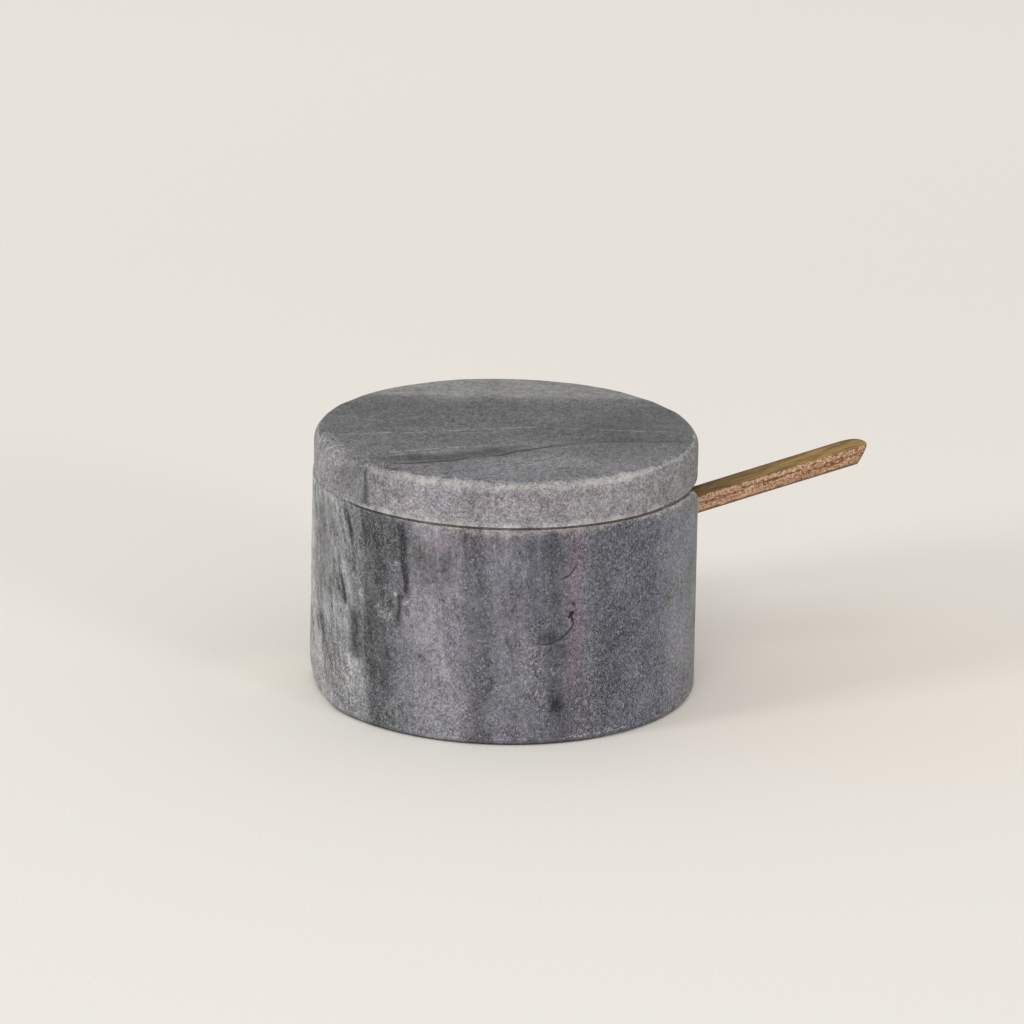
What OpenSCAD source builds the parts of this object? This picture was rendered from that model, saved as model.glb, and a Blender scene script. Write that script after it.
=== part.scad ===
// Salt cellar: a turned stone bowl, its stone lid and a wooden spoon that stays
// in the bowl with its handle out through a notch in the rim.
// The origin is the centre of the base. +Z is up and the notch faces +X.

/* [Bowl] */
// Diameter of the bowl at its base
bowl_d = 95; // [84:0.5:114]
// Height of the bowl from the table to its rim
bowl_h = 53.5; // [46:0.5:62]
// How far the outer wall leans in between the base and the rim
bowl_lean = 0.6; // [0:0.1:2]
// Thickness of the wall at the rim
wall_t = 8.4; // [6:0.1:10]
// Thickness of the floor under the hollow
floor_t = 9; // [5:0.5:14]
// Radius of the dished corner between the inner wall and the floor
hollow_corner_r = 28; // [20:0.5:32]
// Radius of the outer edge at the base
base_edge_r = 1.5; // [0.5:0.1:3]
// Radius of the eased edges at the rim, inside and out
rim_edge_r = 0.6; // [0.2:0.1:1]

/* [Notch] */
// Depth of the notch below the rim
notch_depth = 12.4; // [11:0.1:15]
// Gap on each side between the notch and the spoon's handle
notch_side_gap = 0.65; // [0.4:0.05:1.5]
// Radius of the two corners in the bottom of the notch
notch_corner_r = 1.2; // [0.5:0.1:1.2]
// Radius of the broad round that leads from the rim into the notch
shoulder_r = 18; // [14:0.5:22]
// Radius of the tighter round that ends the shoulder at the notch's side
shoulder_blend_r = 5; // [3:0.5:6]
// Depth below the rim at which the shoulder runs into the notch's side
shoulder_drop = 9; // [7:0.1:9.6]
// How far the broad round would crest above the rim, so that it meets the rim in a faint edge
shoulder_crest = 0.2; // [0.1:0.05:0.5]

/* [Lid] */
// Thickness of the lid
lid_t = 11; // [8:0.5:15]
// How far the lid's side stands in from the bowl's rim
lid_inset = 0.3; // [0:0.1:1]
// Radius of the lid's upper edge
lid_edge_r = 3; // [1:0.1:5]
// Radius of the lid's eased lower edge
lid_seam_r = 0.6; // [0.2:0.1:1.2]
// Height of the register that keeps the lid centred in the mouth
register_h = 4; // [2:0.5:5]
// Gap all round between the register and the mouth
register_gap = 0.5; // [0.3:0.05:1]

/* [Spoon] */
// Length of the spoon from the scoop's tip to the handle's end
spoon_l = 127.5; // [114:0.5:140]
// Slope of the spoon as it rests in the notch, in degrees
spoon_slope = 18.3; // [16:0.1:20]
// Width of the handle
handle_w = 8.7; // [7:0.1:10]
// Thickness of the handle
handle_t = 4.2; // [3.4:0.1:5]
// Chamfer along the handle's four long edges
handle_chamfer = 0.45; // [0.2:0.05:0.8]
// How much shorter the handle is below than above, at its sawn end
end_undercut = 3.4; // [1:0.1:5]
// Radius of the handle's end corners, seen from above
end_corner_r = 3; // [1:0.1:3.4]
// Diameter of the scoop over its rim
scoop_d = 26; // [22:0.5:30]
// Depth of the scoop outside, from its rim to the bottom of its belly
scoop_h = 7; // [5.5:0.1:9]
// Width of the scoop's flat rim
scoop_rim_t = 1.8; // [1.2:0.1:2.6]
// Thickness of the wood at the bottom of the scoop
scoop_floor_t = 2; // [1.4:0.1:3]
// Radius of the round between the handle and the scoop
neck_r = 12; // [8:0.5:16]

/* [Hidden] */
$fn = 96;
// Gap that a piece keeps to what it rests on with a round or sloping face
seat_gap = 0.3;
// How far a cutter reaches past what it cuts
overrun = 1;

bowl_r = bowl_d / 2;
rim_r = bowl_r - bowl_lean;
mouth_r = rim_r - wall_t;
lid_r = rim_r - lid_inset;
register_r = mouth_r - register_gap;
lean_length = norm([bowl_lean, bowl_h]);
wall_normal = [bowl_h, bowl_lean] / lean_length;

notch_half_w = handle_w / 2 + notch_side_gap;
notch_floor_z = bowl_h - notch_depth;

scoop_r = scoop_d / 2;
scoop_hollow_r = scoop_r - scoop_rim_t;
scoop_hollow_h = scoop_h - scoop_floor_t;
belly_r = cap_radius(scoop_r, scoop_h);
hollow_r = cap_radius(scoop_hollow_r, scoop_hollow_h);
handle_end = spoon_l - scoop_r;
neck_x = sqrt(pow(scoop_r + neck_r, 2) - pow(handle_w / 2 + neck_r, 2));

// The handle's upper face, seen from the side, is the line z = slope_ratio * x + face_z
slope_ratio = tan(spoon_slope);
face_z = notch_floor_z + (handle_t + seat_gap) / cos(spoon_slope) - mouth_r * slope_ratio;
scoop_tip = resting_tip();
scoop_centre = scoop_tip + scoop_r * [cos(spoon_slope), sin(spoon_slope)];

// Radius of the ball whose cap has the given rim radius and height
function cap_radius(rim, height) = (rim * rim + height * height) / (2 * height);

// Where the scoop's tip stops against the inner wall, as [x, z]: on the dished
// corner, or on the upright wall where the handle's line meets it higher up
function resting_tip() =
    let (
        upright_x = seat_gap - mouth_r,
        upright_z = slope_ratio * upright_x + face_z,
        corner = [hollow_corner_r - mouth_r, floor_t + hollow_corner_r],
        reach = hollow_corner_r - seat_gap,
        rise = face_z - corner.y,
        a = 1 + slope_ratio * slope_ratio,
        b = slope_ratio * rise - corner.x,
        c = corner.x * corner.x + rise * rise - reach * reach,
        x = (-b - sqrt(b * b - a * c)) / a
    )
    upright_z > corner.y ? [upright_x, upright_z] : [x, slope_ratio * x + face_z];

// Cutter that rounds an outline's corner to radius r, between two sides given
// by their outward normals
module corner_cutter(corner, normal_a, normal_b, r) {
    between = (normal_a + normal_b) / (1 + normal_a * normal_b);
    centre = corner - r * between;
    reach = r + overrun;
    difference() {
        polygon([centre, centre + reach * normal_a, centre + reach * between, centre + reach * normal_b]);
        translate(centre)
            circle(r);
    }
}

// Half section of the hollow inside the bowl
module hollow_section() {
    difference() {
        translate([0, floor_t])
            square([mouth_r, bowl_h - floor_t + overrun]);
        corner_cutter([mouth_r, floor_t], [1, 0], [0, -1], hollow_corner_r);
    }
}

// Half section of the bowl, without the notch
module bowl_section() {
    difference() {
        polygon([[0, 0], [bowl_r, 0], [rim_r, bowl_h], [0, bowl_h]]);
        corner_cutter([bowl_r, 0], [0, -1], wall_normal, base_edge_r);
        corner_cutter([rim_r, bowl_h], wall_normal, [0, 1], rim_edge_r);
        corner_cutter([mouth_r, bowl_h], [0, 1], [-1, 0], rim_edge_r);
        hollow_section();
    }
}

// One shoulder of the notch, in the notch's own section: what is cut away
// between the notch's side and a broad arc and a tighter one that meet tangent
module shoulder_cut() {
    blend_centre = [notch_half_w + shoulder_blend_r, -shoulder_drop];
    broad_y = shoulder_crest - shoulder_r;
    centre_rise = blend_centre.y - broad_y;
    centre_run = sqrt(pow(shoulder_r - shoulder_blend_r, 2) - centre_rise * centre_rise);
    broad_centre = [blend_centre.x + centre_run, broad_y];
    meeting = shoulder_r * [-centre_run, centre_rise] / (shoulder_r - shoulder_blend_r);
    difference() {
        polygon([
            [0, -shoulder_drop],
            blend_centre,
            broad_centre,
            [broad_centre.x, overrun],
            [0, overrun]
        ]);
        translate(blend_centre)
            circle(shoulder_blend_r);
        intersection() {
            translate(broad_centre)
                circle(shoulder_r);
            polygon([
                broad_centre,
                broad_centre + 2 * meeting,
                [broad_centre.x, broad_centre.y + 2 * shoulder_r]
            ]);
        }
    }
}

// Section of the notch, with the rim's plane at y = 0
module notch_section() {
    difference() {
        translate([-notch_half_w, -notch_depth])
            square([2 * notch_half_w, notch_depth + overrun]);
        for (side = [-1, 1])
            corner_cutter([side * notch_half_w, -notch_depth], [side, 0], [0, -1], notch_corner_r);
    }
    shoulder_cut();
    mirror([1, 0])
        shoulder_cut();
}

// The notch, run outwards through the wall on the +X side
module notch() {
    translate([0, 0, bowl_h])
        rotate([90, 0, 90])
            linear_extrude(bowl_r + overrun)
                notch_section();
}

// Turned bowl with a dished hollow and the spoon's notch in its rim
module bowl() {
    color([0.56, 0.56, 0.58])
        difference() {
            rotate_extrude()
                bowl_section();
            notch();
        }
}

// Plain round lid that lies on the rim, with a low register inside the mouth
module lid() {
    color([0.44, 0.45, 0.46])
        translate([0, 0, bowl_h])
            rotate_extrude() {
                difference() {
                    square([lid_r, lid_t]);
                    corner_cutter([lid_r, lid_t], [1, 0], [0, 1], lid_edge_r);
                    corner_cutter([lid_r, 0], [1, 0], [0, -1], lid_seam_r);
                }
                difference() {
                    translate([0, -register_h])
                        square([register_r, register_h + lid_t / 2]);
                    corner_cutter([register_r, -register_h], [1, 0], [0, -1], lid_seam_r);
                }
            }
}

// Half section of a ball's cap that hangs below the scoop's rim
module cap_section(rim, height, ball_r, above) {
    intersection() {
        translate([0, ball_r - height])
            circle(ball_r);
        translate([0, -height])
            square([rim, height + above]);
    }
}

// Plan of the neck: a web whose two sides are arcs tangent to the scoop's rim
// and to the handle
module neck_plan() {
    side_y = handle_w / 2 + neck_r;
    difference() {
        polygon([[0, 0], [neck_x, side_y], [neck_x, -side_y]]);
        for (side = [-1, 1])
            translate([neck_x, side * side_y])
                circle(neck_r);
    }
}

// Section across the handle, with its upper face at y = 0
module handle_section() {
    difference() {
        translate([-handle_w / 2, -handle_t])
            square([handle_w, handle_t]);
        for (side = [-1, 1], level = [0, -handle_t])
            translate([side * handle_w / 2, level])
                rotate(45)
                    square(handle_chamfer * sqrt(2), center = true);
    }
}

// Side view of the handle, with its end sawn back below
module handle_side() {
    polygon([
        [0, 0],
        [handle_end, 0],
        [handle_end - end_undercut, -handle_t],
        [0, -handle_t]
    ]);
}

// Plan of the handle, with its two end corners rounded
module handle_plan() {
    difference() {
        translate([0, -handle_w / 2])
            square([handle_end, handle_w]);
        for (side = [-1, 1])
            corner_cutter([handle_end, side * handle_w / 2], [1, 0], [0, side], end_corner_r);
    }
}

// Straight handle: the bar that its section, side view and plan have in common
module handle() {
    intersection() {
        rotate([90, 0, 90])
            linear_extrude(handle_end + overrun)
                handle_section();
        translate([0, handle_w, 0])
            rotate([90, 0, 0])
                linear_extrude(2 * handle_w)
                    handle_side();
        translate([0, 0, -2 * handle_t])
            linear_extrude(3 * handle_t)
                handle_plan();
    }
}

// Carved spoon, lying level with the middle of its scoop's rim at the origin
module level_spoon() {
    difference() {
        union() {
            rotate_extrude()
                cap_section(scoop_r, scoop_h, belly_r, 0);
            translate([0, 0, -handle_t])
                linear_extrude(handle_t)
                    neck_plan();
            handle();
        }
        rotate_extrude()
            cap_section(scoop_hollow_r, scoop_hollow_h, hollow_r, overrun);
    }
}

// The spoon where it rests: tip against the inner wall, handle on the notch
module spoon() {
    color([0.70, 0.55, 0.42])
        translate([scoop_centre.x, 0, scoop_centre.y])
            rotate([0, -spoon_slope, 0])
                level_spoon();
}

bowl();
lid();
spoon();
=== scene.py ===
"""Looks of the salt cellar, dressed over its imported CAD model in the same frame.

A honed grey marble bowl, a marble lid and a carved wooden spoon. Lengths in the
pieces' classes are millimetres; the meshes are written in metres. A bearing is
the angle in degrees round the cellar from the side that faces the camera, to the
right.
"""

import logging
import math
from collections.abc import Sequence
from dataclasses import dataclass, field
from enum import Enum

import bpy
import numpy as np
from mathutils import Matrix, Vector


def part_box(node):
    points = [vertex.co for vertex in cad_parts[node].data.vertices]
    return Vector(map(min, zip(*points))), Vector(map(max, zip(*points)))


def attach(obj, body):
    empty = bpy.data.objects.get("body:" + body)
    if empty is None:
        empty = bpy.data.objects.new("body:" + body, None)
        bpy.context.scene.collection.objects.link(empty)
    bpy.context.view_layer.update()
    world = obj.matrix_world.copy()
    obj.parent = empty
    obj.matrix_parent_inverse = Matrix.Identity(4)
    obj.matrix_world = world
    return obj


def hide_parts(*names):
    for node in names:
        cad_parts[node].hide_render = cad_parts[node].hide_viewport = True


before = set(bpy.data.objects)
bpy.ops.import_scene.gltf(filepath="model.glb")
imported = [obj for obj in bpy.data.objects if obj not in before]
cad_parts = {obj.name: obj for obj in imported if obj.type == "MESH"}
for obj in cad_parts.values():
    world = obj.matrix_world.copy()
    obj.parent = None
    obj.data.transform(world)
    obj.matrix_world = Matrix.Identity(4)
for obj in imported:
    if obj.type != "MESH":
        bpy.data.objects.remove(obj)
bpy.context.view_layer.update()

Array = np.ndarray
Point = tuple[float, float]
Triple = tuple[float, float, float]
Colour = Triple
Socket = bpy.types.NodeSocket
Feed = Socket | float | Sequence[float]
Axes = tuple[Socket, Socket, Socket]

MM = 0.001
PHOTO_PX = 1024
FRONT_DEG = -93.0
RIGHT = (math.cos(math.radians(FRONT_DEG + 90.0)), math.sin(math.radians(FRONT_DEG + 90.0)), 0.0)
BACK = (-RIGHT[1], RIGHT[0], 0.0)
# Stands for the distance of a place that no edge, seam or line comes near.
FAR_MM = 9.0

log = logging.getLogger("salt_cellar")


class Mark(Enum):
    """Kinds of mark in the stone, each kept on the mesh under its own name."""

    DARK = "dark_marks"
    LIGHT = "light_marks"
    ROSE = "rose_marks"


class Layer(Enum):
    """Measures that a mesh carries for its finish: distances and a share."""

    EDGE = "edge_mm"
    SEAM = "seam_shade_mm"
    CRACK = "crack_mm"
    CRACK_WIDTH = "crack_width_mm"
    HOLLOW = "hollow_mm"
    COARSE = "coarse_share"
    THREAD = "thread_mm"


Layers = dict[Enum, Array]


@dataclass(frozen=True)
class Trace:
    """A soft mark drawn as a line, with its half width and its strength.

    On a wall the line's points are a bearing and a height, and on the lid's top
    they are a place to the right and a place to the back.
    """

    mark: Mark
    half_width: float
    strength: float
    points: tuple[Point, ...]


def drawn(mark: Mark, *rows: tuple[float | Point, ...]) -> tuple[Trace, ...]:
    """Makes traces of one kind from rows of half width, strength and points."""
    return tuple(Trace(mark, *row[:2], row[2:]) for row in rows)


@dataclass(frozen=True)
class Crack:
    """A hairline crack with its width and depth, on a line as a trace has it."""

    width: float
    depth: float
    points: tuple[Point, ...]


@dataclass(frozen=True)
class Pit:
    """A small natural hole in the wall."""

    bearing: float
    height: float
    half_width: float
    half_height: float
    depth: float
    tilt: float = 0.0

    def depth_at(self, flat: Array, radius: float) -> Array:
        """Measures the hole.

        Args:
            flat: Places on the wall, rolled out flat.
            radius: The wall's radius.

        Returns:
            How deep the hole is at each place.
        """
        turn = math.radians(self.tilt)
        axes = np.array([(math.cos(turn), -math.sin(turn)), (math.sin(turn), math.cos(turn))])
        centre = roll_out(((self.bearing, self.height),), radius)
        off = (flat - centre) @ axes / (self.half_width, self.half_height)
        return self.depth * smooth_step(1.15, 0.45, np.hypot(off[:, 0], off[:, 1]))


def smooth_step(low: float, high: float, value: Array) -> Array:
    """Eases from 0 at low to 1 at high."""
    t = np.clip((value - low) / (high - low), 0.0, 1.0)
    return t * t * (3.0 - 2.0 * t)


def stretch_share(start: float, full: float, leave: float, gone: float, value: Array) -> Array:
    """Eases from 0 at start to 1 at full, and back from 1 at leave to 0 at gone."""
    return smooth_step(start, full, value) * smooth_step(gone, leave, value)


def bearing_from(angle: Array) -> Array:
    """Turns angles round the cellar, in degrees, into bearings."""
    return (angle - FRONT_DEG + 180.0) % 360.0 - 180.0


def bearing_of(places: Array) -> Array:
    """Bearing of each place."""
    return bearing_from(np.degrees(np.arctan2(places[:, 1], places[:, 0])))


def seam_shade_fade(bearing: Array) -> Array:
    """How far the painted shade in the seam draws back, where lid and bowl meet without a gap."""
    return smooth_step(-50.0, -60.0, bearing) + smooth_step(-20.0, -50.0, bearing) * 0.10


def lattice_noise(points: Array, size: float, seed: int) -> Array:
    """Smooth seeded noise at the given places.

    Args:
        points: Places in millimetres, one a row.
        size: Distance between the noise's lattice points, in millimetres.
        seed: Seed of the noise.

    Returns:
        A value between -1 and 1 for each place.
    """
    period = 32
    table = np.random.default_rng(seed).uniform(-1.0, 1.0, (period, period, period))
    scaled = points / size
    base = np.floor(scaled).astype(int)
    part = scaled - base
    part = part * part * (3.0 - 2.0 * part)
    total = np.zeros(len(points))
    for corner in np.ndindex(2, 2, 2):
        index = (base + corner) % period
        weight = np.ones(len(points))
        for axis in range(3):
            weight *= part[:, axis] if corner[axis] else 1.0 - part[:, axis]
        total += weight * table[index[:, 0], index[:, 1], index[:, 2]]
    return total


def wander(points: Array, size: float, seed: int) -> Array:
    """Flat offsets between -1 and 1 that make a drawn line less even."""
    return np.column_stack([lattice_noise(points, size, seed), lattice_noise(points, size, seed + 1)])


@dataclass(frozen=True)
class Unevenness:
    """Seeded hollows in a surface: mean depth, patch size, seed and pull by axis."""

    depth: float
    size: float
    seed: int
    pull: Triple = (1.0, 1.0, 1.0)

    def at(self, places: Array) -> Array:
        """Depth of the hollows at each place."""
        return self.depth * (1.0 + lattice_noise(places * np.array(self.pull), self.size, self.seed))


def measure_to_line(points: Array, line: Array) -> tuple[Array, Array, Array]:
    """Measures flat points against a line of joined segments.

    Args:
        points: Flat points, one a row.
        line: The line's points, one a row.

    Returns:
        The distance, signed by the side of the line; the place along the line,
        from 0 at its start to 1 at its end; and the offset from the line.
    """
    signed = np.full(len(points), np.inf)
    place = np.zeros(len(points))
    away = np.zeros_like(points)
    for k in range(len(line) - 1):
        start, run = line[k], line[k + 1] - line[k]
        t = np.clip((points - start) @ run / (run @ run), 0.0, 1.0)
        off = points - (start + t[:, None] * run)
        distance = np.hypot(off[:, 0], off[:, 1])
        side = np.where(run[0] * off[:, 1] - run[1] * off[:, 0] < 0.0, -1.0, 1.0)
        closer = distance < np.abs(signed)
        signed[closer] = (side * distance)[closer]
        place[closer] = ((k + t) / (len(line) - 1))[closer]
        away[closer] = off[closer]
    return signed, place, away


def roll_out(points: Sequence[Point], radius: float) -> Array:
    """Turns bearings on a wall into arc lengths from the front."""
    return np.array([(math.radians(bearing) * radius, height) for bearing, height in points])


def thinned(place: Array, rate: float, least: float) -> Array:
    """Thins a line towards its ends: the rate is one over the share that thins."""
    return np.clip(rate * place, least, 1.0) * np.clip(rate * (1.0 - place), least, 1.0)


def blank_layers(count: int) -> Layers:
    """Starts the values that a stone's mesh carries, with nothing drawn yet.

    Args:
        count: How many places the mesh has.

    Returns:
        The values by mark and by layer.
    """
    layers = {key: np.zeros(count) for key in (*Mark, *Layer)}
    layers[Layer.CRACK][:] = FAR_MM
    layers[Layer.THREAD][:] = FAR_MM
    return layers


def lay_nearest(layers: Layers, key: Layer, gap: Array, place: Array, room: Array) -> Array:
    """Keeps the distance to a line where no other line is nearer.

    Args:
        layers: The mesh's values.
        key: The layer that the distance goes into.
        gap: Distance of each place from the line.
        place: Place along the line, from 0 to 1.
        room: Where the line may be drawn.

    Returns:
        Where the distance was kept.
    """
    hit = room & (np.abs(gap) < np.abs(layers[key])) & (place > 0.0) & (place < 1.0)
    layers[key][hit] = gap[hit]
    return hit


def lay_crack(layers: Layers, crack: Crack, gap: Array, place: Array, room: Array) -> Array:
    """Draws a crack and cuts it into the stone.

    Args:
        layers: The mesh's values.
        crack: The crack.
        gap: Distance of each place from its line.
        place: Place along its line, from 0 to 1.
        room: Where it may be drawn.

    Returns:
        How deep it is at each place.
    """
    half_cut = 0.55
    thin = thinned(place, 4.0, 0.15)
    hit = lay_nearest(layers, Layer.CRACK, gap, place, room)
    layers[Layer.CRACK_WIDTH][hit] = crack.width * thin[hit]
    return np.where(hit, crack.depth * thin * np.exp(-((gap / half_cut) ** 2)), 0.0)


def lay_trace(layers: Layers, trace: Trace, flat: Array, line: Array, share: Array, ends: Point) -> None:
    """Draws a soft mark.

    Args:
        layers: The mesh's values.
        trace: The mark.
        flat: The mesh's places, rolled out flat.
        line: The mark's line, rolled out in the same way.
        share: How much of the mark each place takes.
        ends: How strong the mark is at its ends, and past them.
    """
    gap, place, _ = measure_to_line(flat, line)
    ink = trace.strength * np.exp(-((gap / trace.half_width) ** 2))
    ink *= ends[0] + (1.0 - ends[0]) * thinned(place, 5.0, 0.0)
    ink = np.where((place > 0.0) & (place < 1.0), ink, ends[1] * ink) * share
    np.maximum(layers[trace.mark], ink, out=layers[trace.mark])


def arc(centre: Sequence[float], radius: float, start: float, end: float, count: int) -> Array:
    """Points on an arc in a plane.

    Args:
        centre: Centre of the arc.
        radius: Radius of the arc.
        start: Angle of the first point, in degrees.
        end: Angle of the last point, in degrees.
        count: Number of points.

    Returns:
        The points, one a row.
    """
    angle = np.radians(np.linspace(start, end, count))
    return np.column_stack([centre[0] + radius * np.cos(angle), centre[1] + radius * np.sin(angle)])


def row_at(x: Array, y: Sequence[float] | float) -> Array:
    """Pairs a row of values with another one, or with a single value."""
    return np.column_stack([x, np.broadcast_to(y, np.shape(x))])


def rolled(angle: Array, radius: Array | float, height: Array | float) -> Array:
    """Places at the given angles, radii and heights, one a row."""
    flat = [radius * np.cos(angle), radius * np.sin(angle)]
    return np.column_stack([*flat, np.broadcast_to(height, np.shape(angle))])


def ring_normals(rings: Array) -> Array:
    """Measures the outward normals of a grid of rings that closes on itself.

    Args:
        rings: Places by ring, by column and by axis.

    Returns:
        A unit normal for each place.
    """
    along = np.gradient(rings, axis=0)
    across = np.roll(rings, -1, axis=1) - np.roll(rings, 1, axis=1)
    normal = np.cross(across, along)
    length = np.linalg.norm(normal, axis=2, keepdims=True)
    return normal / np.maximum(length, 1e-9)


def ring_mesh(name: str, rings: Array, layers: Layers) -> bpy.types.Object:
    """Makes a closed piece from rings, with a point at each end.

    Args:
        name: Name of the piece.
        rings: Places by ring, by column and by axis, in millimetres. The first
            and the last ring each lie on one point.
        layers: Values to keep on the mesh, one for each place of the rings.

    Returns:
        The piece, in the scene and in metres.
    """
    count, columns = rings.shape[:2]
    places = np.vstack([rings[0, :1], rings[1:-1].reshape(-1, 3), rings[-1, :1]]) * MM
    last = len(places) - 1
    pairs = [(k, (k + 1) % columns) for k in range(columns)]
    faces = [(0, 1 + b, 1 + a) for a, b in pairs]
    for row in range(count - 3):
        low, high = 1 + row * columns, 1 + (row + 1) * columns
        faces += [(low + a, low + b, high + b, high + a) for a, b in pairs]
    top = 1 + (count - 3) * columns
    faces += [(top + a, top + b, last) for a, b in pairs]
    mesh = bpy.data.meshes.new(name)
    mesh.from_pydata([tuple(p) for p in places.tolist()], [], faces)
    mesh.validate()
    for key, values in layers.items():
        values = values.reshape(count, columns)
        flat = np.concatenate([values[0, :1], values[1:-1].ravel(), values[-1, :1]])
        layer = mesh.attributes.new(key.value, "FLOAT", "POINT")
        layer.data.foreach_set("value", flat.astype(np.float32))
    mesh.shade_smooth()
    piece = bpy.data.objects.new(name, mesh)
    bpy.context.collection.objects.link(piece)
    return piece


class Bench:
    """Places and links nodes in one node tree."""

    def __init__(self, tree: bpy.types.NodeTree) -> None:
        """Starts on a node tree."""
        self.tree = tree

    def node(
        self, kind: str, feeds: Sequence[Feed] | dict[int | str, Feed] = (), **settings: object
    ) -> bpy.types.Node:
        """Adds a node and feeds its inputs.

        Args:
            kind: Node type, without the word ShaderNode.
            feeds: Sockets or values for its inputs, in order, or by index or name.
            **settings: Properties of the node by name.

        Returns:
            The node.
        """
        made = self.tree.nodes.new("ShaderNode" + kind)
        for key, value in settings.items():
            setattr(made, key, value)
        for key, value in feeds.items() if isinstance(feeds, dict) else enumerate(feeds):
            self.feed(made.inputs[key], value)
        return made

    def feed(self, socket: Socket, value: Feed) -> None:
        """Links another socket to a socket, or sets its value.

        Args:
            socket: The input to feed.
            value: A socket, a number or a row of numbers.
        """
        if isinstance(value, Socket):
            self.tree.links.new(value, socket)
        else:
            socket.default_value = value

    def math(self, operation: str, *values: Feed) -> Socket:
        """Adds a Math node and returns its value."""
        return self.node("Math", (*values, 0.0, 0.0)[:3], operation=operation).outputs[0]

    def times(self, first: Feed, second: Feed) -> Socket:
        """Multiplies two values."""
        return self.math("MULTIPLY", first, second)

    def times_plus(self, first: Feed, second: Feed, third: Feed) -> Socket:
        """Multiplies two values and adds a third one."""
        return self.math("MULTIPLY_ADD", first, second, third)

    def plus(self, first: Feed, second: Feed) -> Socket:
        """Adds two values."""
        return self.math("ADD", first, second)

    def swing(self, value: Feed) -> Socket:
        """Turns a value around 0.5 into one around 0."""
        return self.times_plus(value, 2.0, -1.0)

    def vector(self, operation: str, first: Feed, second: Feed) -> Socket:
        """Adds a Vector Math node and returns its vector."""
        return self.node("VectorMath", (first, second), operation=operation).outputs[0]

    def pulled(self, place: Feed, shares: Triple) -> Socket:
        """Scales a place by axis, so that a texture read there is drawn out or squeezed."""
        return self.vector("MULTIPLY", place, shares)

    def dot(self, place: Feed, way: Triple) -> Socket:
        """Returns how far a place lies along a direction."""
        return self.node("VectorMath", (place, way), operation="DOT_PRODUCT").outputs[1]

    def join(self, x: Feed, y: Feed, z: Feed) -> Socket:
        """Joins three values into a vector."""
        return self.node("CombineXYZ", (x, y, z)).outputs[0]

    def span(self, value: Feed, low: float, high: float, start: float = 0.0, end: float = 1.0) -> Socket:
        """Eases from start, where the value is low, to end, where it is high."""
        feeds = (value, low, high, start, end)
        return self.node("MapRange", feeds, interpolation_type="SMOOTHSTEP").outputs[0]

    def noise(self, place: Feed, scale: float, detail: float, rough: float) -> Socket:
        """Returns noise around 0.5, with patches per unit of the place, finer layers and their strength."""
        feeds = {"Vector": place, "Scale": scale, "Detail": detail, "Roughness": rough}
        return self.node("TexNoise", feeds).outputs[0]

    def cells(self, place: Feed, scale: float) -> Socket:
        """Adds crystal cells and returns a random value for each cell."""
        colour = self.node("TexVoronoi", {"Vector": place, "Scale": scale}).outputs["Color"]
        return self.node("SeparateColor", (colour,)).outputs[0]

    def blend(self, share: Feed, first: Feed, second: Feed, way: str = "MIX") -> Socket:
        """Blends the share of a second colour into a first one, by the Mix node's way."""
        first, second = (tone if isinstance(tone, Socket) else (*tone, 1.0) for tone in (first, second))
        return self.node("Mix", {0: share, 6: first, 7: second}, data_type="RGBA", blend_type=way).outputs[2]

    def ramp(self, value: Feed, stops: Sequence[tuple[float, Colour]]) -> Socket:
        """Turns a value into a colour.

        Args:
            value: The value, between 0 and 1.
            stops: Places between 0 and 1 with their colours.

        Returns:
            The colour.
        """
        made = self.node("ValToRGB", (value,))
        band = made.color_ramp
        band.interpolation = "EASE"
        while len(band.elements) < len(stops):
            band.elements.new(0.5)
        for element, (place, colour) in zip(band.elements, stops):
            element.position = place
            element.color = (*colour, 1.0)
        return made.outputs[0]

    def layer(self, key: Enum) -> Socket:
        """Reads a value that the mesh carries."""
        return self.node("Attribute", attribute_name=key.value).outputs["Fac"]

    def place_mm(self) -> Socket:
        """Returns the place on the piece in millimetres."""
        place = self.node("TexCoord").outputs["Object"]
        return self.node("VectorMath", {0: place, "Scale": 1.0 / MM}, operation="SCALE").outputs[0]

    def group(self, tree: bpy.types.NodeTree, **inputs: Feed) -> dict[str, Socket]:
        """Places a shared group, feeds its inputs by name and returns its outputs by name."""
        outputs = self.node("Group", inputs, node_tree=tree).outputs
        return {socket.name: socket for socket in outputs}

    def bump(self, shader: bpy.types.Node, height: Feed, strength: float, distance: float) -> None:
        """Feeds a height to a shader's normal, over a distance in millimetres."""
        feeds = {"Strength": strength, "Distance": distance * MM, "Height": height}
        self.feed(shader.inputs["Normal"], self.node("Bump", feeds).outputs["Normal"])


def new_material(name: str, specular: float) -> tuple[bpy.types.Material, Bench, bpy.types.Node]:
    """Starts a material.

    Args:
        name: Name of the material.
        specular: Specular level of its shader.

    Returns:
        The material, a bench on its nodes, and its shader.
    """
    material = bpy.data.materials.new(name)
    material.use_nodes = True
    shader = material.node_tree.nodes["Principled BSDF"]
    shader.inputs["Specular IOR Level"].default_value = specular
    return material, Bench(material.node_tree), shader


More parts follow.
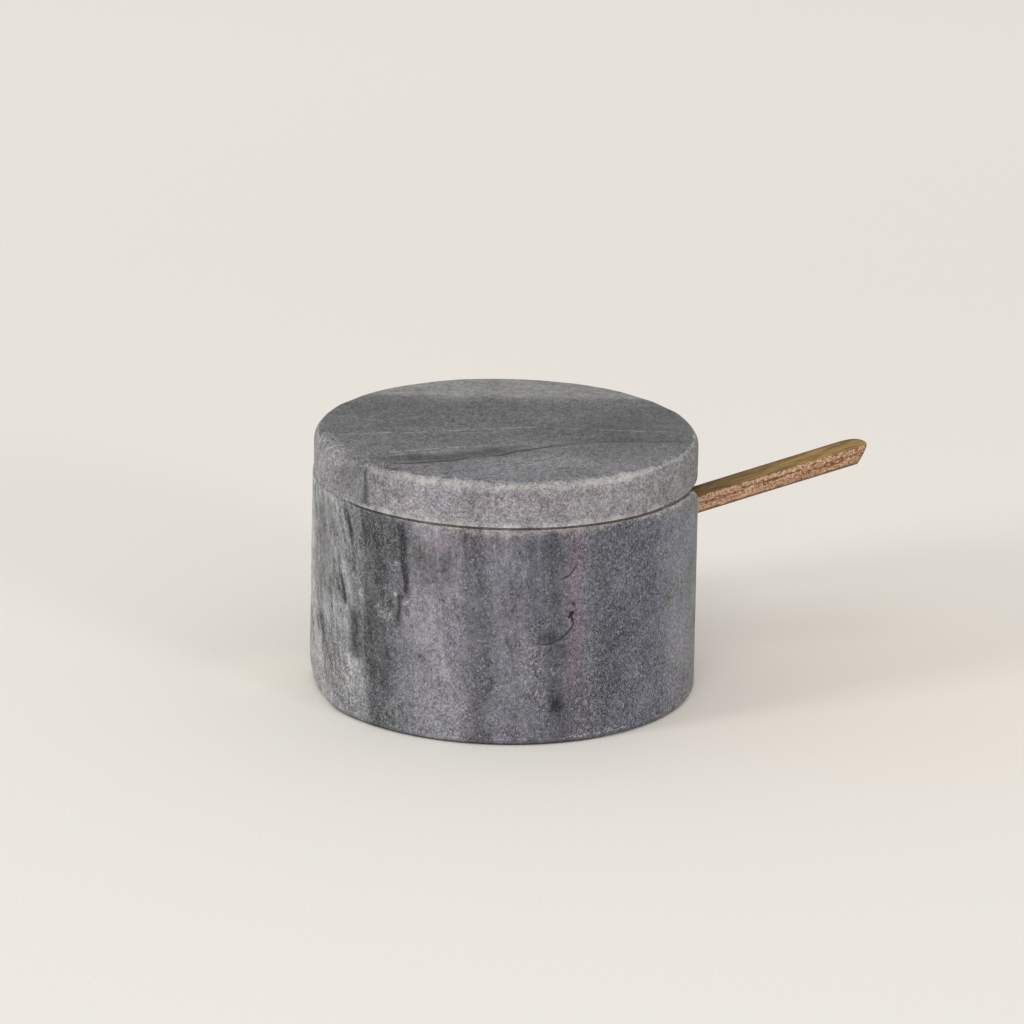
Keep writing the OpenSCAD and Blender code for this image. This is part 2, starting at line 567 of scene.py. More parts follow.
def new_group(
    name: str, inputs: dict[str, float | None], outputs: Sequence[str]
) -> tuple[Bench, dict[str, Socket], dict[str, Socket]]:
    """Starts a shared node group.

    Args:
        name: Name of the group.
        inputs: Input names with their usual values; None stands for a vector.
        outputs: Names of the values that it puts out.

    Returns:
        A bench on the group, its inputs by name and its outputs by name.
    """
    tree = bpy.data.node_groups.new(name, "ShaderNodeTree")
    for key, value in inputs.items():
        kind = "NodeSocketVector" if value is None else "NodeSocketFloat"
        socket = tree.interface.new_socket(name=key, in_out="INPUT", socket_type=kind)
        if value is not None:
            socket.default_value = value
    for key in outputs:
        tree.interface.new_socket(name=key, in_out="OUTPUT", socket_type="NodeSocketFloat")
    source = tree.nodes.new("NodeGroupInput")
    sink = tree.nodes.new("NodeGroupOutput")
    return Bench(tree), {s.name: s for s in source.outputs}, {s.name: s for s in sink.inputs}


@dataclass
class Effects:
    """Shared effects, each built once and placed in several materials."""

    grain: bpy.types.NodeTree = field(init=False)
    streaks: bpy.types.NodeTree = field(init=False)
    wear_light_group: bpy.types.NodeTree = field(init=False)

    def __post_init__(self) -> None:
        """Builds the groups."""
        self.grain = self.build_grain()
        self.streaks = self.build_streaks()
        self.wear_light_group = self.build_wear_light()

    def build_grain(self) -> bpy.types.NodeTree:
        """Crystals of the stone or flecks of the wood.

        Returns:
            A group that puts out a fine tone, light flecks, dark flecks and a
            height for the bump.
        """
        bench, source, sink = new_group(
            "crystal_grain", {"Place": None, "Share": 0.3}, ["Tone", "Light", "Dark", "Height"]
        )
        place = source["Place"]
        crystals = bench.cells(place, 2.6)
        coarse = bench.noise(place, 1.0, 2.0, 0.6)
        fine = bench.noise(place, 4.0, 1.0, 0.6)
        patchy = bench.noise(place, 0.23, 2.0, 0.6)
        mixed = bench.times_plus(crystals, 0.42, bench.times(fine, 1.2))
        bench.feed(sink["Tone"], bench.times_plus(coarse, 0.18, bench.math("SUBTRACT", mixed, 0.4)))
        lean = bench.times_plus(patchy, 0.25, bench.times(crystals, 0.5))
        lean = bench.times_plus(fine, 0.5, lean)
        cut = bench.math("SUBTRACT", bench.times_plus(source["Share"], -0.5, 1.0), lean)
        bench.feed(sink["Light"], bench.span(cut, -0.10, 0.06, 1.0, 0.0))
        elsewhere = bench.vector("ADD", place, (31.0, 7.0, 13.0))
        bench.feed(sink["Dark"], bench.span(bench.cells(elsewhere, 1.7), 0.94, 0.99))
        bench.feed(sink["Height"], bench.times_plus(fine, 0.6, bench.times(crystals, 0.4)))
        return bench.tree

    def build_streaks(self) -> bpy.types.NodeTree:
        """Drawn-out streaks along a stone's layers or a wood's grain.

        Returns:
            A group that puts out broad streaks, fine streaks and soft clouds.
        """
        bench, source, sink = new_group(
            "drawn_streaks",
            {"Across": 0.0, "Along": 0.0, "Depth": 0.0, "Stretch": 9.0},
            ["Broad", "Fine", "Cloud"],
        )
        along = bench.math("DIVIDE", source["Along"], source["Stretch"])
        depth = bench.math("DIVIDE", source["Depth"], source["Stretch"])
        place = bench.join(source["Across"], depth, along)
        whole = bench.join(source["Across"], source["Depth"], source["Along"])
        bench.feed(sink["Broad"], bench.noise(place, 0.34, 3.0, 0.55))
        bench.feed(sink["Fine"], bench.noise(place, 1.25, 3.0, 0.6))
        bench.feed(sink["Cloud"], bench.noise(whole, 0.085, 3.0, 0.55))
        return bench.tree

    def build_wear_light(self) -> bpy.types.NodeTree:
        """Line of rubbing along a piece's edges, broken up by noise; on the stone it also carries a painted
        highlight on the rounded edges, and on the wood painted shade along the edges.

        Returns:
            A group that puts out how much of the rubbing and its painted light each place takes.
        """
        bench, source, sink = new_group("edge_wear_and_painted_light", {"Place": None, "Edge": FAR_MM, "Width": 1.5}, ["Worn"])
        ragged = bench.times_plus(bench.noise(source["Place"], 0.45, 3.0, 0.6), 1.6, -0.3)
        reach = bench.math("MAXIMUM", bench.times(source["Width"], ragged), 0.05)
        near = bench.math("DIVIDE", source["Edge"], reach)
        bench.feed(sink["Worn"], bench.span(near, 0.35, 1.25, 1.0, 0.0))
        return bench.tree


def finished(
    name: str, rings: Array, relief: Array, layers: Layers, material: bpy.types.Material
) -> bpy.types.Object:
    """Sinks a stone's surface by its relief and makes the piece.

    Args:
        name: Name of the piece.
        rings: Places by ring, by column and by axis.
        relief: How far each place sinks.
        layers: Values to keep on the mesh.
        material: The piece's material.

    Returns:
        The piece.
    """
    carved = rings - ring_normals(rings) * relief.reshape(*rings.shape[:2], 1)
    piece = ring_mesh(name, carved, layers)
    piece.data.materials.append(material)
    return piece


def grey(tone: float, warm: float = 0.0, rose: float = 0.0) -> Colour:
    """Mixes a linear stone grey from its reflectance, its warmth and its rosiness."""
    return (tone * (1.0 + warm + rose), tone * (1.0 + 0.2 * warm - rose), tone * (1.0 - warm + 0.6 * rose))


@dataclass(frozen=True)
class StoneFinish:
    """Honed marble: its layers, streaks, crystals, marks, cracks, and edges lighter from rubbing and from a
    painted highlight.

    The layers are planes. Their places run from 0 to 1 over reach millimetres,
    centred on the part's axis and measured along facing.
    """

    name: str
    facing: Triple
    along: Triple
    layers: tuple[tuple[float, Colour], ...]
    zones: tuple[Point, ...]
    sway: float
    stretch: float
    streak: float
    cloud: float
    speckle: float
    grain_pull: Triple
    tint: float
    edge_wear_and_light_colour: Colour
    wear_and_sheen_width: float
    wear_and_sheen_hold: float
    reach: float = 100.0
    middle: float = 0.0
    lean: float = 0.0
    streak_lean: float = 0.0
    streak_side: float = 0.0
    streak_middle: float = 1.0
    streak_calm: float = 1.0
    patch: float = 0.5
    low_calm: float = 1.0
    low_speckle: float = 1.0
    smooth_share: float = 0.45
    fleck: float = 0.25
    roughness: float = 0.62

    def build(self, effects: Effects) -> bpy.types.Material:
        """Builds the material.

        Args:
            effects: The shared effects.

        Returns:
            The material.
        """
        material, bench, shader = new_material(self.name, 0.35)
        place = bench.place_mm()
        coarse = bench.layer(Layer.COARSE)
        grain = bench.group(effects.grain, Place=bench.pulled(place, self.grain_pull), Share=0.3)
        ragged = bench.swing(bench.noise(place, 1.1, 3.0, 0.7))
        crumbs = bench.times_plus(bench.swing(grain["Tone"]), 0.5, ragged)
        edge = bench.layer(Layer.EDGE)
        edge_wear_light = bench.group(effects.wear_light_group, Place=place, Edge=edge, Width=self.wear_and_sheen_width)["Worn"]
        colour, tone, zone, streaks = self.strata(bench, effects, place)
        colour = self.stained(bench, colour, crumbs)
        # Edges lighter and warmer: partly real rubbing, partly a painted highlight on the rounded rim and
        # brow.
        colour = bench.blend(bench.times(edge_wear_light, self.wear_and_sheen_hold), colour, self.edge_wear_and_light_colour)
        brightness = bench.node("RGBToBW", (colour,)).outputs[0]
        evened = bench.math("POWER", bench.times(brightness, 7.0), -0.45)
        smooth = self.smooth_share
        strength = bench.times_plus(coarse, (1.0 - smooth) * self.speckle, smooth * self.speckle)
        strength = bench.times(bench.times(strength, evened), zone)
        tone = bench.times_plus(bench.math("SUBTRACT", grain["Tone"], 0.5), strength, tone)
        tone = bench.math("MAXIMUM", tone, 0.15)
        colour = bench.blend(1.0, colour, bench.join(tone, tone, tone), "MULTIPLY")
        colour = self.tinted(bench, colour, place)
        flecks = bench.times_plus(coarse, 0.7 * self.fleck, 0.3 * self.fleck)
        colour = bench.blend(bench.times(grain["Light"], flecks), colour, (0.43, 0.42, 0.44))
        colour = bench.blend(bench.times(grain["Dark"], 0.3), colour, (0.035, 0.036, 0.04))
        colour, crack = self.opened(bench, colour, crumbs, place)
        bench.feed(shader.inputs["Base Color"], colour)
        rough = bench.times_plus(grain["Tone"], 0.18, self.roughness - 0.09)
        bench.feed(shader.inputs["Roughness"], bench.times_plus(edge_wear_light, -0.06, rough))
        height = bench.times_plus(streaks["Fine"], 0.4, grain["Height"])
        height = bench.times(height, bench.times_plus(coarse, 0.6, 0.4))
        bench.bump(shader, bench.times_plus(crack, -2.0, height), 0.6, 0.06)
        return material

    def strata(
        self, bench: Bench, effects: Effects, place: Socket
    ) -> tuple[Socket, Socket, Socket, dict[str, Socket]]:
        """Lays the stone's bands, and streaks and clouds over them.

        Args:
            bench: The material's bench.
            effects: The shared effects.
            place: The place in millimetres.

        Returns:
            The bands' colour, the tone that multiplies it, how strong the
            grain is, and the streaks.
        """
        across = bench.dot(place, self.facing)
        along = bench.math("SUBTRACT", bench.dot(place, self.along), self.middle)
        depth = bench.dot(place, tuple(np.cross(self.facing, self.along)))
        level = bench.times_plus(bench.swing(bench.noise(place, 0.035, 1.0, 0.5)), self.sway, across)
        level = bench.times_plus(bench.swing(bench.noise(place, 0.21, 3.0, 0.6)), 0.3 * self.sway, level)
        level = bench.times_plus(along, self.lean, level)
        reading = bench.times_plus(level, 1.0 / self.reach, 0.5)
        zone = bench.times(bench.ramp(reading, [(at, (hold, hold, hold)) for at, hold in self.zones]), 1.5)
        zone = bench.times(zone, bench.span(along, -25.0, -6.0, self.low_speckle, 1.0))
        slant = bench.span(across, -36.0, 10.0, self.streak_lean, 0.3 * self.streak_lean)
        slanted = bench.plus(level, bench.times(along, slant))
        feeds = {"Across": slanted, "Along": along, "Depth": depth, "Stretch": self.stretch}
        streaks = bench.group(effects.streaks, **feeds)
        calm = bench.span(across, 6.0, 20.0, 1.0, self.streak_calm)
        hold = bench.span(across, -37.0, -22.0, 1.0 + self.streak_side, self.streak_middle)
        hold = bench.times(bench.times(hold, calm), bench.span(along, -24.0, -4.0, self.low_calm, 1.0))
        tone = bench.times_plus(bench.swing(streaks["Fine"]), 1.2, bench.swing(streaks["Broad"]))
        tone = bench.times_plus(bench.times(tone, hold), self.streak, 1.0)
        tone = bench.times_plus(bench.swing(streaks["Cloud"]), self.cloud, tone)
        patch = bench.times(bench.swing(bench.noise(place, 0.42, 2.0, 0.6)), calm)
        return bench.ramp(reading, self.layers), bench.times_plus(patch, self.patch, tone), zone, streaks

    def stained(self, bench: Bench, colour: Socket, crumbs: Socket) -> Socket:
        """Adds the light, rose and dark marks, ragged at their edges.

        Args:
            bench: The material's bench.
            colour: The colour so far.
            crumbs: Noise around 0 that roughens the marks.

        Returns:
            The colour with the marks.
        """
        for mark, ink, hold, way in (
            (Mark.LIGHT, (0.40, 0.38, 0.39), 0.75, "MIX"),
            (Mark.ROSE, (1.34, 0.99, 1.06), 0.8, "MULTIPLY"),
            (Mark.DARK, (0.020, 0.021, 0.024), 0.9, "MIX"),
        ):
            reading = bench.layer(mark)
            spread = bench.times_plus(crumbs, bench.span(reading, 0.02, 0.3, 0.0, 0.6), reading)
            colour = bench.blend(bench.times(bench.span(spread, 0.05, 1.0), hold), colour, ink, way)
        return colour

    def tinted(self, bench: Bench, colour: Socket, place: Socket) -> Socket:
        """Tints the stone a little greener, bluer and rosier in close and wide patches.

        Args:
            bench: The material's bench.
            colour: The colour so far.
            place: The place in millimetres.

        Returns:
            The tinted colour.
        """
        close = (
            (0.30, (0.935, 1.0, 1.01)),
            (0.46, (0.985, 1.0, 0.98)),
            (0.56, (1.0, 0.98, 1.05)),
            (0.72, (1.10, 0.94, 1.02)),
        )
        wide = (
            (0.32, (0.95, 1.02, 1.0)),
            (0.45, (1.0, 1.0, 0.98)),
            (0.58, (1.0, 0.985, 1.04)),
            (0.70, (1.04, 0.975, 1.03)),
        )
        for scale, detail, stops in ((0.5, 1.5, close), (0.11, 2.0, wide)):
            tint = bench.ramp(bench.noise(place, scale, detail, 0.6), stops)
            colour = bench.blend(self.tint, colour, tint, "MULTIPLY")
        return colour

    def opened(self, bench: Bench, colour: Socket, crumbs: Socket, place: Socket) -> tuple[Socket, Socket]:
        """Adds the light threads, the painted shade in the seam and where the foot meets the floor, the
        cracks and the pits.

        Args:
            bench: The material's bench.
            colour: The colour so far.
            crumbs: Noise around 0 that roughens the marks.
            place: The place in millimetres.

        Returns:
            The colour, and where the cracks are.
        """
        dashes = bench.span(bench.noise(bench.pulled(place, (0.28, 0.9, 0.9)), 1.0, 2.0, 0.6), 0.42, 0.60)
        thread = bench.span(bench.math("ABSOLUTE", bench.layer(Layer.THREAD)), 0.1, 0.55, 1.0, 0.0)
        # Painted shade: the dark line in the seam and where the foot meets the floor.
        seam = bench.span(bench.times_plus(crumbs, 0.07, bench.layer(Layer.SEAM)), 0.12, 0.50, 1.0, 0.0)
        broken = bench.math("MAXIMUM", bench.times_plus(crumbs, 0.8, 1.0), 0.1)
        width = bench.times(bench.math("MAXIMUM", bench.layer(Layer.CRACK_WIDTH), 0.001), broken)
        gap = bench.math("DIVIDE", bench.math("ABSOLUTE", bench.layer(Layer.CRACK)), width)
        crack = bench.span(gap, 0.3, 1.25, 1.0, 0.0)
        # Painted shade in the pits: the deeper, the darker.
        hollow = bench.span(bench.times_plus(crumbs, 0.22, bench.layer(Layer.HOLLOW)), 0.12, 0.36)
        for share, hold, ink in (
            (bench.times(thread, dashes), 0.55, (0.42, 0.41, 0.38)),
            (seam, 0.95, (0.016, 0.015, 0.016)),
            (crack, 0.92, (0.018, 0.017, 0.017)),
            (hollow, 0.92, (0.022, 0.019, 0.018)),
        ):
            colour = bench.blend(bench.times(share, hold), colour, ink)
        return colour, crack


@dataclass
class Bowl:
    """The turned bowl with the spoon's notch in its rim."""

    base_r: float
    height: float
    finish: StoneFinish
    lean: float = 0.6
    wall: float = 8.4
    floor_z: float = 9.0
    dish_r: float = 28.0
    base_edge: float = 1.5
    rim_edge: float = 0.45
    notch_half: float = 5.0
    notch_depth: float = 12.4
    notch_corner: float = 1.2
    shoulder_drop: float = 9.0
    shoulder_r: float = 18.0
    shoulder_blend: float = 5.0
    shoulder_crest: float = 0.2
    cracks: tuple[Crack, ...] = ()
    pits: tuple[Pit, ...] = ()
    traces: tuple[Trace, ...] = ()
    uneven: tuple[Unevenness, ...] = (
        Unevenness(0.035, 13.0, 3),
        Unevenness(0.02, 3.5, 4),
        Unevenness(0.015, 1.3, 5, (1.0, 1.0, 0.2)),
    )

    @property
    def rim_r(self) -> float:
        """Outer radius at the rim."""
        return self.base_r - self.lean

    @property
    def mouth_r(self) -> float:
        """Radius of the mouth."""
        return self.rim_r - self.wall

    def notch_line(self) -> tuple[Array, Array]:
        """Half of the notch's section, from its middle to the rim.

        Returns:
            Places across the notch with heights over the rim's plane, and the
            unit directions from each place into the stone.
        """
        bottom = -self.notch_depth
        corner = (self.notch_half - self.notch_corner, bottom + self.notch_corner)
        blend = (self.notch_half + self.shoulder_blend, -self.shoulder_drop)
        broad_y = self.shoulder_crest - self.shoulder_r
        rise = blend[1] - broad_y
        run = math.sqrt((self.shoulder_r - self.shoulder_blend) ** 2 - rise * rise)
        broad = (blend[0] + run, broad_y)
        turn = math.degrees(math.atan2(rise, -run))
        end = 180.0 - math.degrees(math.asin(-broad_y / self.shoulder_r))
        pieces = [
            (row_at(np.linspace(0.0, corner[0], 9), bottom), row_at(np.zeros(9), -1.0)),
            (arc(corner, self.notch_corner, -90.0, 0.0, 7), arc((0, 0), 1.0, -90.0, 0.0, 7)),
            (row_at([self.notch_half] * 6, np.linspace(corner[1], blend[1], 6)), row_at(np.ones(6), 0.0)),
            (arc(blend, self.shoulder_blend, 180.0, turn, 10), -arc((0, 0), 1.0, 180.0, turn, 10)),
            (arc(broad, self.shoulder_r, turn, end, 26), -arc((0, 0), 1.0, turn, end, 26)),
        ]
        places = np.vstack([p if k == 0 else p[1:] for k, (p, _) in enumerate(pieces)])
        normals = np.vstack([n if k == 0 else n[1:] for k, (_, n) in enumerate(pieces)])
        return places, normals

    def rim_shares(self, start: float) -> tuple[Array, Array]:
        """Places of the columns beyond the notch, from 0 at its edge to 1 at the back.

        Args:
            start: Angle of the notch's edge from the notch's middle, in degrees.

        Returns:
            The places on the far side and on the near side of the notch. The
            near side is the one that the camera sees, so it has more columns,
            and most of all by the long crack.
        """
        crack_at, crack_reach, crack_step = -FRONT_DEG - 19.0, 9.0, 0.34
        seen_end, seen_step, back_step, far_count = 165.0, 0.64, 0.9, 144
        near = [start]
        while near[-1] < 180.0:
            step = crack_step if abs(near[-1] - crack_at) < crack_reach else seen_step
            near.append(near[-1] + (step if near[-1] < seen_end else back_step))
        angles = np.array(near[1:]) * 180.0 / near[-1]
        return np.linspace(0.0, 1.0, far_count)[1:], (angles - start) / (180.0 - start)

    def columns(self) -> dict[str, Array]:
        """Lays out the columns round the rim.

        Returns:
            By name: angle out at the rim, angle in at the mouth, angle out at
            the base and angle in at the dish, in radians; height of the rim's
            contour; and the direction into the stone as seen on the wall.
        """
        places, normals = self.notch_line()
        run = np.concatenate([[0.0], np.cumsum(np.linalg.norm(np.diff(places, axis=0), axis=1))])
        across = places[:, 0]
        rim_r, mouth_r = self.rim_r, self.mouth_r
        notch = {"out": np.arcsin(across / rim_r), "in": np.arcsin(across / mouth_r)}
        for key, radius, spread, edge in (("base", rim_r, 0.70, 27.0), ("dish", mouth_r, 0.55, 31.0)):
            rest = math.radians(edge) * radius - spread * run[-1]
            notch[key] = (spread * run + across * rest / across[-1]) / radius
        parts: dict[str, list[Array]] = {key: [] for key in (*notch, "h", "ny", "nz")}
        for sign, wide in zip((1.0, -1.0), self.rim_shares(math.degrees(notch["out"][-1]))):
            rest = {key: part[-1] + wide * (math.pi - part[-1]) for key, part in notch.items()}
            block = {key: sign * np.append(part, rest[key]) for key, part in notch.items()}
            flat = np.zeros(len(wide))
            block["h"] = np.append(places[:, 1], flat)
            block["ny"] = sign * np.append(normals[:, 0], flat)
            block["nz"] = np.append(normals[:, 1], flat - 1.0)
            for key, values in block.items():
                parts[key].append(values if sign > 0 else values[::-1][1:-1])
        return {key: np.concatenate(values) for key, values in parts.items()}

    def eased(self, distance: Array) -> tuple[Array, Array]:
        """Rounds a sharp edge.

        Args:
            distance: Distances from the edge along a face.

        Returns:
            How far each place moves away from the edge along its face, and how
            far it sinks under the face.
        """
        turn = math.pi / 4 * np.clip(1.0 - distance / self.rim_edge, 0.0, 1.0)
        along = np.where(distance < self.rim_edge, self.rim_edge * (1 - np.sin(turn)) - distance, 0.0)
        return along, self.rim_edge * (1 - np.cos(turn))

    def wall_rows(
        self, top: Array, foot: Array, offsets: Sequence[float], steps: Array, heading: Array, share: Array
    ) -> tuple[Array, Array, Array]:
        """Runs the columns down a wall that is rolled out flat, and rounds its edge.

        Args:
            top: Arc length and level of the contour at each column.
            foot: Arc length and level of each column's lower end.
            offsets: Distances of the first rows below the contour.
            steps: Places of the other rows, from 0 to 1.
            heading: Direction into the stone at each column.
            share: How much of the rounding each column takes.

        Returns:
            Arc length and level by row and by column, how far each place
            sinks, and its distance from the contour.
        """
        drop = (top[:, 1] - foot[:, 1])[:, None]
        first = np.array(offsets) / drop
        shares = np.hstack([first, first[:, -1:] + (1.0 - first[:, -1:]) * steps])
        grid = np.swapaxes(top[:, None] + shares[:, :, None] * (foot - top)[:, None], 0, 1)
        flat = grid.reshape(-1, 2)
        distance = self.height - flat[:, 1]
        away = row_at(np.zeros(len(flat)), -1.0)
        close = (np.abs(flat[:, 0]) < 24.0) & (flat[:, 1] > self.height - self.notch_depth - 4.0)
        line = top[np.argsort(top[:, 0])]
        signed, _, off = measure_to_line(flat[close], line[np.abs(line[:, 0]) < 28.0])
        distance[close] = np.abs(signed)
        away[close] = off / np.maximum(np.abs(signed), 1e-9)[:, None]
        distance, away = distance.reshape(grid.shape[:2]), away.reshape(grid.shape)
        distance[0], away[0] = 0.0, heading
        along, deep = (share * part for part in self.eased(distance))
        return grid + away * along[:, :, None], deep, distance

    def rim_rows(
        self, start: Array, end: Array, near_edge: Array, heading: Array, share: Array
    ) -> list[tuple[Array, Array]]:
        """Runs rows over the rim, from the outer wall's edge to the inner one's.

        Args:
            start: Place of each column on the outer wall's edge.
            end: Place of each column on the inner wall's edge.
            near_edge: Distances of the first rows from each edge.
            heading: Direction into the stone at each column.
            share: How much of the rounding each column takes.

        Returns:
            Each row's places, with their distances from the nearer edge.
        """
        down = np.column_stack([np.zeros(len(start)), heading])
        length = np.linalg.norm(end - start, axis=1)
        way = (end - start) / length[:, None]
        insets = [np.full(len(start), distance) for distance in near_edge[1:]]
        insets += [part * length for part in (0.10, 0.16, 0.26, 0.40, 0.55, 0.70, 0.82, 0.90)]
        insets += [length - distance for distance in near_edge[:0:-1]]
        rows = []
        for inset in insets:
            from_edge = np.minimum(inset, length - inset)
            along, deep = (share * part for part in self.eased(from_edge))
            moved = inset + np.where(inset < length / 2, along, -along)
            rows.append((start + way * moved[:, None] + down * deep[:, None], from_edge))
        return rows

    def rings(self) -> tuple[Array, Array, Sequence[int]]:
        """Builds the bowl's rings from the middle of its base to its floor.

        Returns:
            The rings, each place's distance from the rim's edges, and the rows
            at which the outer wall, the rim and the inside start.
        """
        col = self.columns()
        base, dish = col["base"], col["dish"]
        heading = np.column_stack([col["ny"], col["nz"]])
        share = 1.0 - 0.9 * stretch_share(-54.0, -62.0, -105.0, -130.0, bearing_from(np.degrees(col["out"])))
        edge = self.rim_edge
        near_edge = np.array([0.0, 0.25, 0.5, 0.75, 1.0]) * edge
        offsets = (*near_edge, edge + 0.25, edge + 0.6, edge + 1.1, edge + 1.7)
        levels = (np.arange(50.4, 46.0, -0.7), np.arange(46.0, 24.0, -0.42), np.linspace(24.0, 1.5, 33))
        top_level = self.height - offsets[-1]
        steps = np.clip((top_level - np.concatenate(levels)) / (top_level - self.base_edge), 0.0, 1.0)
        contour = self.height + col["h"]
        outer_top = row_at(self.rim_r * col["out"], contour)
        outer_foot = row_at(self.rim_r * base, self.base_edge)
        outer = self.wall_rows(outer_top, outer_foot, offsets, steps, heading, share)
        inner_top = row_at(self.mouth_r * col["in"], contour)
        inner_foot = row_at(self.mouth_r * dish, self.floor_z + self.dish_r * (1 - math.pi / 2))
        offsets = (*near_edge, edge + 0.4, edge + 1.2)
        inner = self.wall_rows(inner_top, inner_foot, offsets, np.linspace(0.03, 1.0, 36), heading, share)
        far = np.full(len(base), FAR_MM)
        profile = [(radius, 0.0) for radius in (0.0, 6.0, 12.0, 18.0, 24.0, 30.0, 36.0, 41.0, 44.0, 45.4)]
        edge_centre = (self.base_r - self.base_edge, self.base_edge)
        profile += arc(edge_centre, self.base_edge, -90.0, 0.0, 8)[:-1].tolist()
        under = [(rolled(base, radius, level), far) for radius, level in profile]
        wall = [(self.on_outside(row, deep), gap) for row, deep, gap in zip(*(part[::-1] for part in outer))]
        start, end = self.on_outside(outer_top, 0.0), self.on_inside(inner_top, 0.0)
        rim = self.rim_rows(start, end, near_edge, heading, share)
        inside = [(self.on_inside(row, deep), gap) for row, deep, gap in zip(*inner)]
        inside += [(rolled(dish, radius, self.floor_z), far) for radius in (8.0, 5.0, 2.0, 0.0)]
        rows, gaps = zip(*under, *wall, *rim, *inside)
        return np.array(rows), np.array(gaps), np.cumsum([len(under), len(wall), len(rim)])

    def on_outside(self, flat: Array, deep: Array | float) -> Array:
        """Rolls flat places back onto the outer wall, sunk into it."""
        radius = self.base_r - self.lean * flat[:, 1] / self.height - deep
        return rolled(flat[:, 0] / self.rim_r, radius, flat[:, 1])

    def on_inside(self, flat: Array, deep: Array | float) -> Array:
        """Rolls flat places back onto the inner wall and the dish.

        Args:
            flat: Arc length and level, one a row.
            deep: How far each place sinks.

        Returns:
            The places.
        """
        straight_end = self.floor_z + self.dish_r
        turn = np.clip((straight_end - flat[:, 1]) / self.dish_r, 0.0, math.pi / 2)
        radius = self.mouth_r - self.dish_r * (1 - np.cos(turn)) + deep
        level = np.where(flat[:, 1] > straight_end, flat[:, 1], straight_end - self.dish_r * np.sin(turn))
        return rolled(flat[:, 0] / self.mouth_r, radius, level)

    def build(self, effects: Effects) -> bpy.types.Object:
        """Builds and dresses the bowl.

        Args:
            effects: The shared effects.

        Returns:
            The piece.
        """
        rings, edges, (wall_row, rim_row, inside_row) = self.rings()
        places = rings.reshape(-1, 3)
        height = places[:, 2]
        bearing = bearing_of(places)
        flat = row_at(np.radians(bearing) * self.base_r, height)
        row = np.repeat(np.arange(len(rings)), rings.shape[1])
        on_wall = (row >= wall_row) & (row < rim_row + 2)
        layers = blank_layers(len(places))
        edge = edges.ravel()
        # The rim's edge, with its rubbing and painted highlight, fades on the left and is strongest at the
        # front.
        less_wear_and_light = 0.7 * smooth_step(-12.0, -20.0, bearing) + 1.2 * smooth_step(-26.0, -46.0, bearing)
        layers[Layer.EDGE] = edge + less_wear_and_light - 0.5 * stretch_share(-12.0, -6.0, 6.0, 14.0, bearing)
        layers[Layer.COARSE] = np.where(on_wall, 1.0, 0.4)
        from_notch = np.abs(np.degrees(np.arctan2(places[:, 1], places[:, 0])))
        at_rim = (from_notch > 22.0) & (row < inside_row)
        # Painted shade: a near-black line in the seam under the lid, and a dark line at the front where the
        # foot meets the floor.
        foot_shade = smooth_step(-58.0, -66.0, bearing) + smooth_step(24.0, 42.0, bearing) + 0.55 * height
        layers[Layer.SEAM] = np.minimum(
            np.where(at_rim, edge + seam_shade_fade(bearing) + 0.06, FAR_MM),
            np.where(row < rim_row, foot_shade, FAR_MM),
        )
        relief = sum(part.at(places) for part in self.uneven)
        bend, jag = wander(places, 1.7, 8), wander(places, 0.6, 10)
        for crack in self.cracks:
            gap, place, _ = measure_to_line(flat + 0.22 * bend, roll_out(crack.points, self.base_r))
            relief += lay_crack(layers, crack, gap, place, on_wall & (np.abs(gap) < 1.4))
        for pit in self.pits:
            depth = pit.depth_at(flat + 0.25 * bend + 0.3 * jag, self.base_r) * on_wall
            relief += depth
            layers[Layer.HOLLOW] += depth
        for trace in self.traces:
            line = roll_out(trace.points, self.base_r)
            lay_trace(layers, trace, flat + 0.5 * bend, line, on_wall, (0.35, 0.4))
        relief += self.chips(places, layers[Layer.EDGE])
        relief *= smooth_step(0.0, 1.2, height)
        foot = stretch_share(-56.0, -70.0, -105.0, -135.0, bearing) * (row < rim_row)
        foot *= smooth_step(43.5, 46.5, np.hypot(places[:, 0], places[:, 1]))
        relief += foot * np.exp(-((height / 3.9) ** 2))
        return finished("bowl_stone", rings, relief, layers, self.finish.build(effects))

    def chips(self, places: Array, edge: Array) -> Array:
        """Small chips along the rim's outer edge.

        Args:
            places: Places on the bowl.
            edge: Their distances from the edge.

        Returns:
            How deep the chips are at each place.
        """
        count, share, edge_reach = 26, 0.16, 3.0
        depth = np.zeros(len(places))
        rng = np.random.default_rng(21)
        for _ in range(count):
            angle = rng.uniform(25.0, 335.0)
            size = rng.uniform(0.7, 1.5)
            centre = rolled(np.radians([angle]), self.rim_r, self.height)
            gap = np.linalg.norm(places - centre, axis=1) / size
            depth += np.where(edge < edge_reach, share * size * np.clip(1.0 - gap * gap, 0.0, 1.0), 0.0)
        return depth


